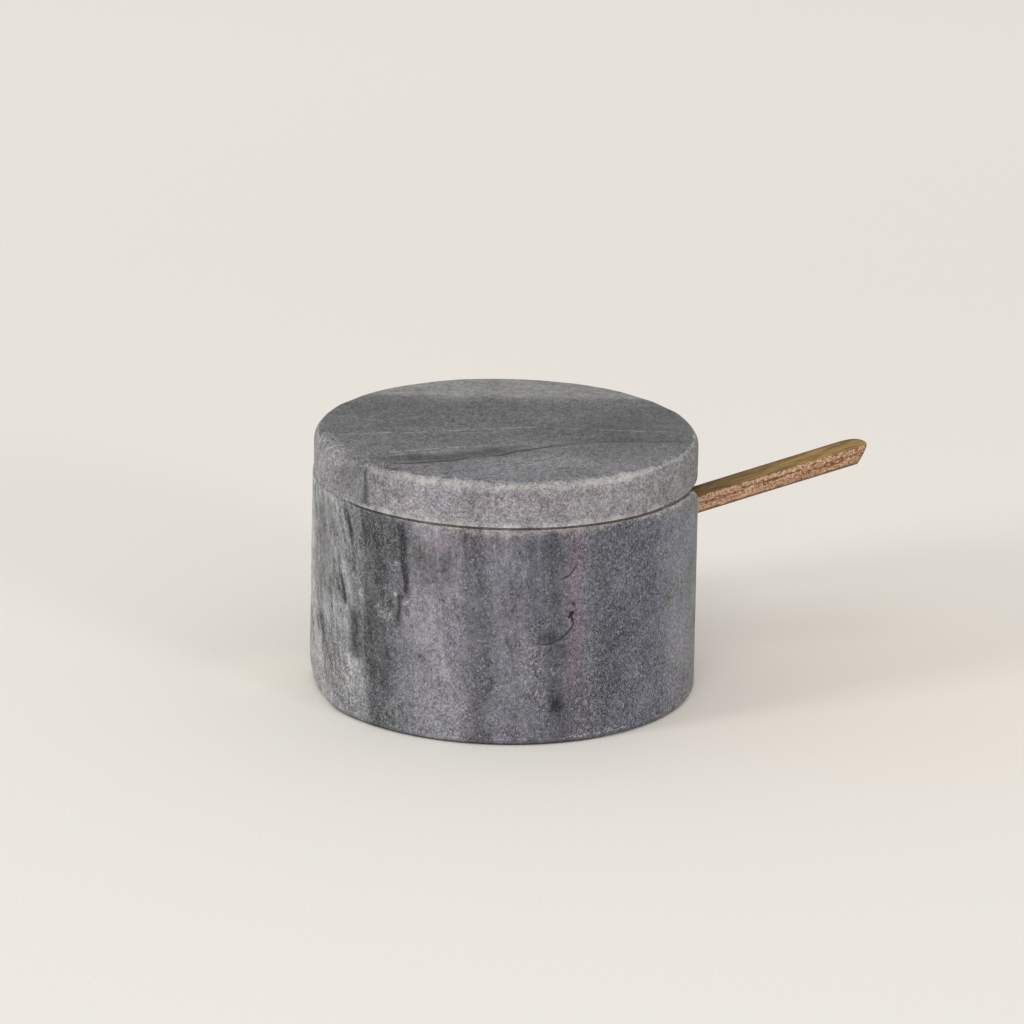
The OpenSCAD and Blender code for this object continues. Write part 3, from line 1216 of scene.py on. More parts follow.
@dataclass
class Lid:
    """The loose stone lid with a register under it."""

    radius: float
    seat_z: float
    top_z: float
    finish: StoneFinish
    register_r: float = 38.0
    register_h: float = 4.0
    register_edge: float = 0.6
    top_edge: float = 3.0
    seam_edge: float = 0.6
    columns: int = 480
    cracks: tuple[Crack, ...] = ()
    threads: tuple[tuple[Point, ...], ...] = ()
    top_traces: tuple[Trace, ...] = ()
    side_traces: tuple[Trace, ...] = ()
    uneven: tuple[Unevenness, ...] = (Unevenness(0.03, 11.0, 13), Unevenness(0.025, 3.2, 14))
    worn_brow: Unevenness = Unevenness(0.12, 5.0, 15)

    def section(self) -> tuple[Array, Array, Array]:
        """Half section of the lid from the middle of its underside to its top.

        Returns:
            Radius and height of each ring, and each ring's distances from the
            seam and from the middle of the rounded upper edge.
        """
        low = self.seat_z - self.register_h
        ease, seam = self.register_edge, self.seam_edge
        inner = self.radius - self.top_edge
        side = np.linspace(self.seat_z + 0.9, self.top_z - self.top_edge - 0.3, 13)
        section = np.vstack([
            row_at([0.0, 8.0, 16.0, 24.0, 31.0, 35.5, self.register_r - ease], low),
            arc((self.register_r - ease, low + ease), ease, -90.0, 0.0, 6)[1:],
            row_at(np.full(4, self.register_r), np.linspace(low + 1.6, self.seat_z, 4)),
            row_at(np.linspace(self.register_r + 1.0, self.radius - seam, 8), self.seat_z),
            arc((self.radius - seam, self.seat_z + seam), seam, -90.0, 0.0, 7)[1:],
            row_at(np.full(len(side), self.radius), side),
            arc((inner, self.top_z - self.top_edge), self.top_edge, 0.0, 90.0, 13),
            row_at(np.append(np.arange(inner - 0.7, 0.7, -0.75), 0.0), self.top_z),
        ])
        brow = self.top_edge * (1.0 - math.sqrt(0.5))
        to_seam = np.hypot(section[:, 0] - self.radius, section[:, 1] - self.seat_z)
        to_brow = np.hypot(section[:, 0] - self.radius + brow, section[:, 1] - self.top_z + brow)
        return section, to_seam, to_brow

    def build(self, effects: Effects) -> bpy.types.Object:
        """Builds and dresses the lid.

        Args:
            effects: The shared effects.

        Returns:
            The piece.
        """
        section, to_seam, to_brow = self.section()
        angle = np.radians(np.linspace(0.0, 360.0, self.columns, endpoint=False))
        rings = np.array([rolled(angle, radius, level) for radius, level in section])
        # The lower edge is moved through this view of the rings, so height follows it.
        places = rings.reshape(-1, 3)
        height, radius = places[:, 2], np.hypot(places[:, 0], places[:, 1])
        right, back = places @ np.array(RIGHT), places @ np.array(BACK)
        bearing = np.degrees(np.arctan2(right, -back))
        brow = np.exp(-(((height - self.top_z + 1.0) / 1.6) ** 2)) * smooth_step(41.0, 44.0, radius)
        relief = sum(part.at(places) for part in self.uneven) + brow * self.worn_brow.at(places)
        relief *= smooth_step(self.seat_z, self.seat_z + 1.0, height)
        layers = blank_layers(len(places))
        # The lid's edges, with their rubbing and painted highlight, fade on the left and past bearing 40.
        less_wear_and_light = 1.2 * smooth_step(-44.0, -50.0, bearing) + 0.8 * smooth_step(40.0, 70.0, bearing)
        layers[Layer.EDGE] = np.repeat(np.minimum(to_seam, to_brow), self.columns) + less_wear_and_light
        # Painted shade along the lid's lower edge, in the seam over the bowl.
        layers[Layer.SEAM] = np.repeat(to_seam, self.columns) + seam_shade_fade(bearing)
        lower = (to_seam < self.seam_edge + 0.001) & (section[:, 1] > self.seat_z - 0.001)
        self.close_seam(places, radius, bearing, lower)
        bend = wander(places, 2.6, 18)
        on_top = smooth_step(self.top_z - 2.2, self.top_z - 0.6, height)
        on_side = smooth_step(self.radius - 6.0, self.radius - 3.0, radius)
        coarse = on_side * (1.0 - smooth_step(self.top_z - 1.2, self.top_z - 0.2, height) * 0.75)
        # Painted light on the lid's side: lighter from bearing -45 round the front to 20, fading out by 75,
        # and a little more past 50; lighter also at the far left past -56.
        painted_side_light = 0.14 * stretch_share(-48.0, -42.0, 90.0, 120.0, bearing) * smooth_step(75.0, 20.0, bearing)
        painted_side_light += 0.28 * smooth_step(-56.0, -70.0, bearing) + 0.05 * smooth_step(50.0, 62.0, bearing)
        layers[Layer.COARSE] = coarse
        layers[Mark.LIGHT] = coarse * (0.27 + painted_side_light)
        top, side = np.column_stack([right, back]), row_at(np.radians(bearing) * self.radius, height)
        high = on_top > 0.5
        for crack in self.cracks:
            gap, place, _ = measure_to_line(top + 0.35 * bend, np.array(crack.points))
            relief += lay_crack(layers, crack, gap, place, high)
        for thread in self.threads:
            gap, place, _ = measure_to_line(top + 0.35 * bend, np.array(thread))
            lay_nearest(layers, Layer.THREAD, gap, place, high)
        for trace in self.top_traces:
            lay_trace(layers, trace, top + 0.45 * bend, np.array(trace.points), on_top, (0.3, 0.3))
        for trace in self.side_traces:
            line = roll_out(trace.points, self.radius)
            lay_trace(layers, trace, side + 0.45 * bend, line, on_side, (0.3, 0.3))
        return finished("lid_stone", rings, relief, layers, self.finish.build(effects))

    def close_seam(self, places: Array, radius: Array, bearing: Array, lower: Array) -> None:
        """Sharpens the lower edge at the front, and runs it flush with the bowl at the left.

        Args:
            places: The lid's places, which are moved.
            radius: Their distances from the axis.
            bearing: Their bearings.
            lower: Which of the section's rings make up the lower edge.
        """
        flush = stretch_share(-50.0, -60.0, -105.0, -130.0, bearing)
        tight = 0.5 * smooth_step(60.0, 38.0, bearing) + 0.5 * flush
        reach = (self.radius + 0.2 * flush) / np.maximum(radius, 1.0)
        corner = np.column_stack([places[:, :2] * reach[:, None], self.seat_z - 0.12 * flush])
        lower = np.repeat(lower, self.columns)
        places[lower] += (tight[:, None] * (corner - places))[lower]


@dataclass(frozen=True)
class WoodFinish:
    """Oiled wood, sawn on its sides and handled smooth on its face."""

    name: str
    centre: Triple
    way: Triple
    lift: Triple
    thickness: float = 4.2
    side_light: Colour = (0.62, 0.40, 0.262)
    side_mid: Colour = (0.330, 0.182, 0.106)
    side_dark: Colour = (0.115, 0.050, 0.025)
    face_light: Colour = (0.345, 0.207, 0.060)
    face_mid: Colour = (0.218, 0.132, 0.039)
    face_dark: Colour = (0.080, 0.053, 0.021)
    edge_wear_and_light_colour: Colour = (0.075, 0.050, 0.028)
    roughness: float = 0.65

    def build(self, effects: Effects) -> bpy.types.Material:
        """Builds the material.

        Args:
            effects: The shared effects.

        Returns:
            The material.
        """
        material, bench, shader = new_material(self.name, 0.22)
        place = bench.vector("SUBTRACT", bench.place_mm(), self.centre)
        along, lift = bench.dot(place, self.way), bench.dot(place, self.lift)
        across = bench.dot(place, (0.0, 1.0, 0.0))
        upward = bench.dot(bench.node("NewGeometry").outputs["Normal"], self.lift)
        face = bench.span(upward, 0.35, 0.8)
        side_share, saw = self.sawn(bench, effects, (along, across, lift))
        side_tones = ((0.22, self.side_dark), (0.50, self.side_mid), (0.80, self.side_light))
        side = bench.ramp(side_share, side_tones)
        face_share = self.planed(bench, effects, (along, across, lift))
        face_tones = ((0.25, self.face_dark), (0.50, self.face_mid), (0.75, self.face_light))
        top = bench.ramp(face_share, face_tones)
        # Painted shade: the spoon's edges darken towards brown, most on the far and lower edges.
        edge_wear_light = bench.group(effects.wear_light_group, Place=place, Edge=bench.layer(Layer.EDGE), Width=0.8)["Worn"]
        colour = bench.blend(bench.times(edge_wear_light, 0.75), bench.blend(face, side, top), self.edge_wear_and_light_colour)
        bench.feed(shader.inputs["Base Color"], colour)
        bench.feed(shader.inputs["Roughness"], bench.times_plus(side_share, 0.2, self.roughness - 0.1))
        height = bench.times(saw, bench.span(face, 0.0, 1.0, 0.8, 0.2))
        bench.bump(shader, bench.times_plus(side_share, 0.8, height), 0.5, 0.08)
        return material

    def sawn(self, bench: Bench, effects: Effects, axes: Axes) -> tuple[Socket, Socket]:
        """Shades the sawn sides: rows of pores, saw marks, a paler strip, and painted light nearer the bowl.

        Args:
            bench: The material's bench.
            effects: The shared effects.
            axes: The places along the spoon, across it and over its upper face.

        Returns:
            A share from dark to light, and the saw marks' height.
        """
        along, _, lift = axes
        local = bench.join(*axes)
        pores, beads, rows, knots = (
            bench.noise(bench.pulled(local, pull), 1.0, detail, rough)
            for pull, detail, rough in (
                ((1.0, 2.0, 3.8), 1.0, 0.6),
                ((3.6, 2.0, 2.6), 1.0, 0.6),
                ((0.20, 0.6, 2.3), 2.0, 0.6),
                ((0.4, 0.7, 0.7), 2.0, 0.5),
            )
        )
        flecks = bench.group(effects.grain, Place=bench.pulled(local, (1.2, 1.2, 1.2)), Share=0.4)
        middle = bench.span(lift, -0.70 * self.thickness, -0.55 * self.thickness)
        upper = bench.span(lift, -0.36 * self.thickness, -0.16 * self.thickness)
        core = bench.math("SUBTRACT", middle, upper)
        # Painted light: the sides are lighter nearer the bowl, against its shade.
        share = bench.plus(bench.times_plus(upper, 0.06, 0.50), bench.span(along, 80.0, 104.0, 0.13, 0.0))
        share = bench.times_plus(core, -0.12, share)
        for reading, weight in (
            (pores, bench.times_plus(core, 0.22, 0.17)),
            (beads, bench.times_plus(upper, 0.66, 0.25)),
            (rows, bench.times_plus(core, 0.66, 0.12)),
            (knots, 0.12),
            (flecks["Tone"], 0.32),
        ):
            share = bench.times_plus(bench.swing(reading), weight, share)
        return share, beads

    def planed(self, bench: Bench, effects: Effects, axes: Axes) -> Socket:
        """Shades the smooth upper face: long grain, darker to the back.

        Args:
            bench: The material's bench.
            effects: The shared effects.
            axes: The places along the spoon, across it and over its upper face.

        Returns:
            A share from dark to light.
        """
        along, across, lift = axes
        local = bench.join(*axes)
        squeezed = bench.times(across, 1.3)
        rays = bench.group(effects.streaks, Across=squeezed, Along=along, Depth=lift, Stretch=14.0)
        lines = bench.noise(bench.pulled(local, (0.35, 1.9, 2.0)), 1.0, 3.0, 0.7)
        patches = bench.noise(bench.pulled(local, (0.12, 0.35, 0.5)), 1.0, 2.0, 0.5)
        share = bench.plus(bench.span(across, 1.0, 4.2, 0.03, -0.14), 0.54)
        share = bench.plus(share, bench.span(along, 72.0, 96.0, -0.02, 0.02))
        for reading, weight in ((rays["Fine"], 0.5), (lines, 0.45), (patches, 0.5)):
            share = bench.times_plus(bench.swing(reading), weight, share)
        return share


@dataclass
class Spoon:
    """The carved spoon, lofted level and then laid at its slope."""

    finish_name: str = "wood_oiled"
    slope: float = 18.3
    centre: Triple = (-21.41, 0.0, 26.03)
    handle_end: float = 114.5
    handle_w: float = 8.7
    handle_t: float = 4.2
    undercut: float = 3.6
    far_reach: float = 9.0
    far_sweep: float = 7.75
    near_corner: float = 0.55
    scoop_r: float = 13.0
    scoop_h: float = 7.0
    hollow_rim: float = 11.2
    hollow_h: float = 5.0
    neck_r: float = 12.0
    neck_end: float = 24.0
    edge: float = 0.22
    lip: float = 0.7
    end_gap: float = 0.03
    uneven: tuple[Unevenness, ...] = (
        Unevenness(0.01, 1.6, 31, (0.25, 1.0, 1.0)),
        Unevenness(0.015, 5.0, 32, (0.5, 1.0, 1.0)),
    )
    saw_marks: Unevenness = Unevenness(0.015, 0.9, 33)

    def half_width(self, x: float, far: bool) -> float:
        """Half width of one side of the spoon's plan.

        Args:
            x: Place along the spoon from the middle of the scoop.
            far: Whether it is the side whose corner is swept back at the end.

        Returns:
            The half width, negative past the spoon's middle.
        """
        side = self.handle_w / 2
        neck_y = side + self.neck_r
        neck_x = math.sqrt((self.scoop_r + self.neck_r) ** 2 - neck_y**2)
        meet = neck_x * self.scoop_r / (self.scoop_r + self.neck_r)
        if x < meet:
            return math.sqrt(max(self.scoop_r**2 - x * x, 0.0))
        if x < neck_x:
            return neck_y - math.sqrt(self.neck_r**2 - (x - neck_x) ** 2)
        if far:
            share = min(max((x - self.handle_end) / self.far_reach + 1.0, 0.0), 1.0)
            return side - self.far_sweep * (1.0 - (1.0 - share**4) ** 0.6)
        past = max(x - self.handle_end + self.near_corner, 0.0)
        return side - self.near_corner + math.sqrt(max(self.near_corner**2 - past**2, 0.0))

    def top_at(self, x: float, y: Array) -> Array:
        """Height of the upper side, with the hollow carved out.

        Args:
            x: Place along the spoon.
            y: Places across it.

        Returns:
            The heights, under the handle's upper face.
        """
        soft = 0.18
        ball = (self.hollow_rim**2 + self.hollow_h**2) / (2 * self.hollow_h)
        square = x * x + y * y
        dip = np.sqrt(np.maximum(ball**2 - square, 0.0)) - (ball - self.hollow_h)
        dip = np.log1p(np.exp(np.clip(dip / soft, -40, 40))) * soft
        return -np.where(square < self.hollow_rim**2 * 1.3, dip, 0.0)

    def bottom_at(self, x: float, y: Array) -> Array:
        """Height of the underside: belly, web and handle blended.

        Args:
            x: Place along the spoon.
            y: Places across it.

        Returns:
            The heights, under the handle's upper face.
        """
        soft = 0.5
        ball = (self.scoop_r**2 + self.scoop_h**2) / (2 * self.scoop_h)
        square = np.minimum(x * x + y * y, self.scoop_r**2)
        belly = np.sqrt(ball**2 - square) - (ball - self.scoop_h)
        web = self.handle_t * float(smooth_step(5.0, 15.5, np.array(x)))
        if x > self.handle_end - self.undercut:
            web = self.handle_t * ((self.handle_end - x) / self.undercut) ** 0.75
        if x > self.scoop_r:
            belly = np.zeros_like(belly)
        thick = np.log(np.exp(belly / soft) + np.exp(web / soft)) * soft - soft * math.log(2.0)
        thick = np.maximum(np.maximum(belly, web), np.minimum(thick, max(self.scoop_h, web)))
        return -np.maximum(thick, min(self.lip, max(web, self.lip if x < 100.0 else 0.0)))

    def stations(self) -> Array:
        """Places of the rings along the spoon: scoop, neck, handle and its end.

        Returns:
            The places, from the scoop's tip.
        """
        sweep = self.handle_end - self.far_reach
        tip = -self.scoop_r * np.cos(np.linspace(0.0, math.pi / 2, 34))
        end = sweep + (self.far_reach - 0.05) * np.sin(np.linspace(0.0, math.pi / 2, 40))
        neck, bar = np.arange(0.6, self.neck_end, 0.6), np.arange(self.neck_end, sweep - 0.3, 0.5)
        return np.concatenate([tip, neck, bar, end])

    def ring(self, x: float) -> tuple[Array, Array]:
        """One ring round the spoon.

        Args:
            x: Place along the spoon.

        Returns:
            The ring's places, and their distances from the long edges, shortened on the far and lower sides
            so that painted shade darkens those edges.
        """
        near = max(self.half_width(x, False), 0.001)
        far = max(self.half_width(x, True), 0.002 - near)
        thick = float(-self.bottom_at(x, np.array([near]))[0] + self.top_at(x, np.array([near]))[0])
        round_r = min(self.edge, 0.45 * max(thick, 0.001), 0.25 * (far + near))
        spread = np.sin(np.linspace(-math.pi / 2, math.pi / 2, 27)) * 0.35 + np.linspace(-1, 1, 27) * 0.65
        middle_y = 0.5 * (far - near)
        across = middle_y + spread * (0.5 * (far + near) - round_r)
        quarter = np.radians(np.linspace(90.0, 0.0, 5))
        flanks = []
        for sign, half in ((-1.0, near), (1.0, far)):
            inner = half - round_r
            high = float(self.top_at(x, np.array([inner]))[0]) - round_r
            low = float(self.bottom_at(x, np.array([inner]))[0]) + round_r
            beside, rise = sign * (inner + round_r * np.cos(quarter)), round_r * np.sin(quarter)
            straight = row_at(np.full(4, sign * half), np.linspace(high, low, 6)[1:-1])
            above, below = row_at(beside, high + rise)[1:], row_at(beside, low - rise)[::-1][:-1]
            flank = np.vstack([above, straight, below])
            flanks.append(flank if sign < 0 else flank[::-1])
        upper = row_at(across[::-1], self.top_at(x, across[::-1]))
        loop = np.vstack([upper, flanks[0], row_at(across, self.bottom_at(x, across)), flanks[1]])
        to_side = np.minimum(far - loop[:, 0], near + loop[:, 0])
        to_face = np.minimum(loop[:, 1].max() - loop[:, 1], loop[:, 1] - loop[:, 1].min())
        # Painted shade: the far half and the lower half of the ring count as nearer an edge, and the near
        # upper edge as farther.
        dark = np.where(loop[:, 0] > middle_y, 0.45, np.where(loop[:, 1] < -0.5 * thick, 0.25, -0.15))
        return np.column_stack([np.full(len(loop), x), loop]), to_side + to_face - dark

    def build(self, effects: Effects) -> bpy.types.Object:
        """Builds and dresses the spoon.

        Args:
            effects: The shared effects.

        Returns:
            The piece.
        """
        rows, gaps = zip(*(self.ring(float(x)) for x in self.stations()))
        rings, edges = np.array(rows), np.array([*gaps, gaps[-1], gaps[-1]])
        rings[0] = rings[0].mean(axis=0)
        carved = smooth_step(24.0, 16.0, rings[1:-1, :1, :1])
        for _ in range(3):
            around = (np.roll(rings, 1, 1) + np.roll(rings, -1, 1))[1:-1]
            middle = 0.25 * (rings[:-2] + rings[2:]) + 0.25 * around
            rings[1:-1] += 0.4 * carved * (middle - rings[1:-1])
        end, bulge = rings[-1].mean(axis=0), np.array([0.02, 0.0, 0.0])
        last = 0.6 * rings[-1] + 0.4 * end + bulge
        rings = np.concatenate([rings, last[None], np.tile(end + bulge, (1, rings.shape[1], 1))])
        places = rings.reshape(-1, 3)
        normals = ring_normals(rings).reshape(-1, 3)
        relief = sum(part.at(places) for part in self.uneven)
        relief += np.where(np.abs(normals[:, 1]) > 0.7, self.saw_marks.at(places), 0.0)
        relief[places[:, 0] > self.handle_end - 0.4] *= 0.3
        tilt = Matrix.Rotation(math.radians(-self.slope), 3, "Y")
        places = (places - normals * relief[:, None]) @ np.array(tilt).T + np.array(self.centre)
        piece = ring_mesh("spoon_carved", places.reshape(rings.shape), {Layer.EDGE: edges})
        rise, run = math.sin(math.radians(self.slope)), math.cos(math.radians(self.slope))
        finish = WoodFinish(self.finish_name, self.centre, way=(run, 0.0, rise), lift=(-rise, 0.0, run))
        piece.data.materials.append(finish.build(effects))
        return piece


@dataclass(frozen=True)
class SoftLight:
    """A soft box that faces the cellar, with angles in degrees and lengths in metres."""

    name: str
    bearing: float
    elevation: float
    size: float
    power: float
    distance: float = 2.6
    aim_z: float = 0.03
    colour: Colour = (1.0, 0.99, 0.975)

    def build(self) -> None:
        """Places the light."""
        data = bpy.data.lights.new(self.name, "AREA")
        data.shape = "DISK"
        data.size = self.size
        data.energy = self.power
        data.color = self.colour
        light = bpy.data.objects.new(self.name, data)
        turn, rise = math.radians(FRONT_DEG + self.bearing), math.radians(self.elevation)
        way = Vector((math.cos(turn) * math.cos(rise), math.sin(turn) * math.cos(rise), math.sin(rise)))
        light.location = way * self.distance + Vector((0.0, 0.0, self.aim_z))
        light.rotation_euler = way.to_track_quat("Z", "Y").to_euler()
        bpy.context.collection.objects.link(light)


@dataclass(frozen=True)
class Studio:
    """Floor, surrounding light, soft boxes and the photograph's viewpoint.

    Angles are in radians, the camera's distance is in millimetres and the floor's
    reach is in metres.
    """

    focal_px: float = 3841.55
    distance: float = 950.05
    elevation: float = 0.34792
    yaw: float = 0.00192
    pitch: float = 0.04313
    roll: float = 0.02098
    floor_reach: float = 4.0
    near_colour: Colour = (0.82, 0.80, 0.755)
    far_colour: Colour = (0.845, 0.817, 0.757)
    end_colour: Colour = (0.92, 0.89, 0.845)
    right_glow: Colour = (1.01, 0.965, 0.945)
    left_glow: Colour = (1.07, 1.055, 1.03)
    air_colour: Colour = (1.0, 0.99, 0.97)
    air_power: float = 0.72
    soft_boxes: tuple[SoftLight, ...] = (
        SoftLight("soft_right", 45.0, 15.0, 0.75, 16.0),
        SoftLight("soft_left", -61.0, 20.0, 0.62, 22.0),
        SoftLight("soft_front", -12.0, 50.0, 1.0, 9.5),
    )

    def build(self) -> None:
        """Builds the camera, the floor and the lights."""
        self.place_camera()
        self.lay_floor()
        world = bpy.data.worlds.new("air")
        bpy.context.scene.world = world
        world.use_nodes = True
        back = world.node_tree.nodes["Background"]
        back.inputs["Color"].default_value = (*self.air_colour, 1.0)
        back.inputs["Strength"].default_value = self.air_power
        for box in self.soft_boxes:
            box.build()
        bpy.context.scene.view_settings.view_transform = "Standard"

    def place_camera(self) -> None:
        """Places the camera where the photograph was taken from."""
        turn = Matrix.Rotation(math.radians(FRONT_DEG + 90.0), 3, "Z")
        where = Vector((0.0, -math.cos(self.elevation), math.sin(self.elevation))) * self.distance
        fall = self.pitch - self.elevation
        level = math.cos(fall)
        ahead = Vector((math.sin(self.yaw) * level, math.cos(self.yaw) * level, math.sin(fall)))
        right = ahead.cross(Vector((0.0, 0.0, 1.0))).normalized()
        up = right.cross(ahead)
        right_r = math.cos(self.roll) * right + math.sin(self.roll) * up
        up_r = math.cos(self.roll) * up - math.sin(self.roll) * right
        axes = Matrix((turn @ right_r, turn @ up_r, turn @ -ahead)).transposed()
        data = bpy.data.cameras.new("camera")
        data.sensor_width = 36.0
        data.lens = self.focal_px / PHOTO_PX * data.sensor_width
        data.clip_start = 0.05
        camera = bpy.data.objects.new("camera", data)
        camera.matrix_world = Matrix.Translation((turn @ where) * MM) @ axes.to_4x4()
        bpy.context.collection.objects.link(camera)
        bpy.context.scene.camera = camera

    def lay_floor(self) -> None:
        """Lays a wide sheet of pale paper under the cellar."""
        mesh = bpy.data.meshes.new("paper_floor")
        low, high = -self.floor_reach, self.floor_reach
        corners = [(low, low, 0), (high, low, 0), (high, high, 0), (low, high, 0)]
        mesh.from_pydata(corners, [], [(0, 1, 2, 3)])
        floor = bpy.data.objects.new("paper_floor", mesh)
        bpy.context.collection.objects.link(floor)
        material, bench, shader = new_material("pale_paper", 0.1)
        place = bench.place_mm()
        behind = bench.dot(place, BACK)
        colour = bench.blend(bench.span(behind, -150.0, 400.0), self.near_colour, self.far_colour)
        colour = bench.blend(bench.span(behind, 250.0, 1000.0), colour, self.end_colour)
        # Painted light on the floor: right_glow warms the shadow on the right as bounced light would, and
        # left_glow lightens the shade by the foot's left side.
        for right, near, far, tint in (
            (95.0, 20.0, 110.0, self.right_glow),
            (-55.0, 4.0, 24.0, self.left_glow),
        ):
            aside = bench.math("SUBTRACT", bench.dot(place, RIGHT), right)
            away = bench.math("SQRT", bench.times_plus(aside, aside, bench.times(behind, behind)))
            colour = bench.blend(bench.span(away, near, far, 1.0, 0.0), colour, tint, "MULTIPLY")
        soft = bench.span(bench.noise(place, 1.3, 2.0, 0.6), 0.2, 0.8, 0.972, 1.02)
        colour = bench.blend(1.0, colour, bench.join(soft, soft, soft), "MULTIPLY")
        bench.feed(shader.inputs["Base Color"], colour)
        shader.inputs["Roughness"].default_value = 0.9
        mesh.materials.append(material)


BOWL_LAYERS = (
    (0.03, grey(0.29, 0.01)),
    (0.09, grey(0.240, -0.015)),
    (0.155, grey(0.205, -0.03)),
    (0.178, grey(0.090, -0.05, 0.01)),
    (0.219, grey(0.087, -0.05, 0.01)),
    (0.245, grey(0.127, -0.06, 0.02)),
    (0.29, grey(0.168, -0.05, 0.03)),
    (0.34, grey(0.212, -0.035, 0.035)),
    (0.385, grey(0.183, -0.05, 0.035)),
    (0.43, grey(0.098, -0.06, 0.03)),
    (0.455, grey(0.107, -0.07, 0.035)),
    (0.49, grey(0.150, -0.075, 0.04)),
    (0.54, grey(0.150, -0.075, 0.038)),
    (0.585, grey(0.117, -0.095, 0.04)),
    (0.63, grey(0.086, -0.095, 0.04)),
    (0.665, grey(0.120, -0.06, 0.045)),
    (0.69, grey(0.130, -0.07, 0.055)),
    (0.73, grey(0.101, -0.095, 0.035)),
    (0.79, grey(0.106, -0.135, 0.042)),
    (0.85, grey(0.118, -0.135, 0.042)),
    (0.93, grey(0.170, -0.06, 0.02)),
)

BOWL_GRAIN = ((0.10, 0.80), (0.17, 0.68), (0.38, 0.62), (0.44, 0.52), (0.63, 0.50), (0.72, 0.82))

LID_LAYERS = (
    (0.05, grey(0.168, -0.035, 0.02)),
    (0.16, grey(0.165, -0.02, 0.01)),
    (0.26, grey(0.155, -0.01, -0.005)),
    (0.33, grey(0.135, -0.01, -0.01)),
    (0.42, grey(0.115, -0.02, -0.015)),
    (0.55, grey(0.116, -0.02, -0.01)),
    (0.68, grey(0.102, -0.02, 0.0)),
    (0.752, grey(0.132, 0.0, 0.0)),
    (0.785, grey(0.225, 0.025, -0.008)),
    (0.95, grey(0.225, 0.025, -0.008)),
)

BOWL_STONE = StoneFinish(
    "marble_bowl",
    facing=RIGHT,
    along=(0.0, 0.0, 1.0),
    layers=BOWL_LAYERS,
    middle=28.0,
    lean=0.055,
    streak_lean=0.09,
    sway=1.6,
    stretch=9.0,
    streak=0.5,
    streak_side=1.0,
    streak_middle=0.7,
    streak_calm=0.3,
    cloud=0.6,
    speckle=1.7,
    zones=BOWL_GRAIN,
    low_calm=0.5,
    low_speckle=1.3,
    grain_pull=(1.0, 1.0, 0.75),
    tint=0.5,
    edge_wear_and_light_colour=(0.33, 0.29, 0.265),
    wear_and_sheen_width=3.2,
    wear_and_sheen_hold=0.6,
)

LID_STONE = StoneFinish(
    "marble_lid",
    facing=BACK,
    along=RIGHT,
    layers=LID_LAYERS,
    sway=2.4,
    stretch=20.0,
    streak=0.18,
    cloud=0.45,
    speckle=1.1,
    smooth_share=1.85,
    zones=((0.73, 0.667), (0.79, 0.4)),
    grain_pull=(1.0, 0.6, 1.0),
    tint=0.75,
    edge_wear_and_light_colour=(0.39, 0.375, 0.355),
    wear_and_sheen_width=2.5,
    wear_and_sheen_hold=0.62,
)

BOWL_CRACKS = (
    Crack(0.2, 0.12, ((22.1, 44.9), (20.5, 43.3), (19.2, 41.7), (17.5, 41.1), (15.9, 40.8))),
    Crack(0.27, 0.2, (
        (20.2, 31.8), (20.8, 30.2), (20.0, 28.8), (18.3, 27.2),
        (16.7, 26.1), (14.2, 25.3), (11.5, 25.1), (8.6, 25.7),
    )),
)

BOWL_PITS = (
    Pit(20.5, 34.6, 0.40, 0.8, 0.4, 35.0),
    Pit(20.0, 32.1, 0.75, 1.05, 0.8, -15.0),
    Pit(20.3, 30.7, 0.35, 0.6, 0.35),
    Pit(18.6, 41.3, 0.7, 0.3, 0.3, 15.0),
    Pit(4.4, 48.0, 1.1, 0.5, 0.4),
    Pit(7.0, 48.7, 0.9, 0.5, 0.3),
    Pit(15.6, 9.6, 0.95, 1.4, 0.34),
    Pit(14.6, 13.4, 0.5, 0.7, 0.3),
)

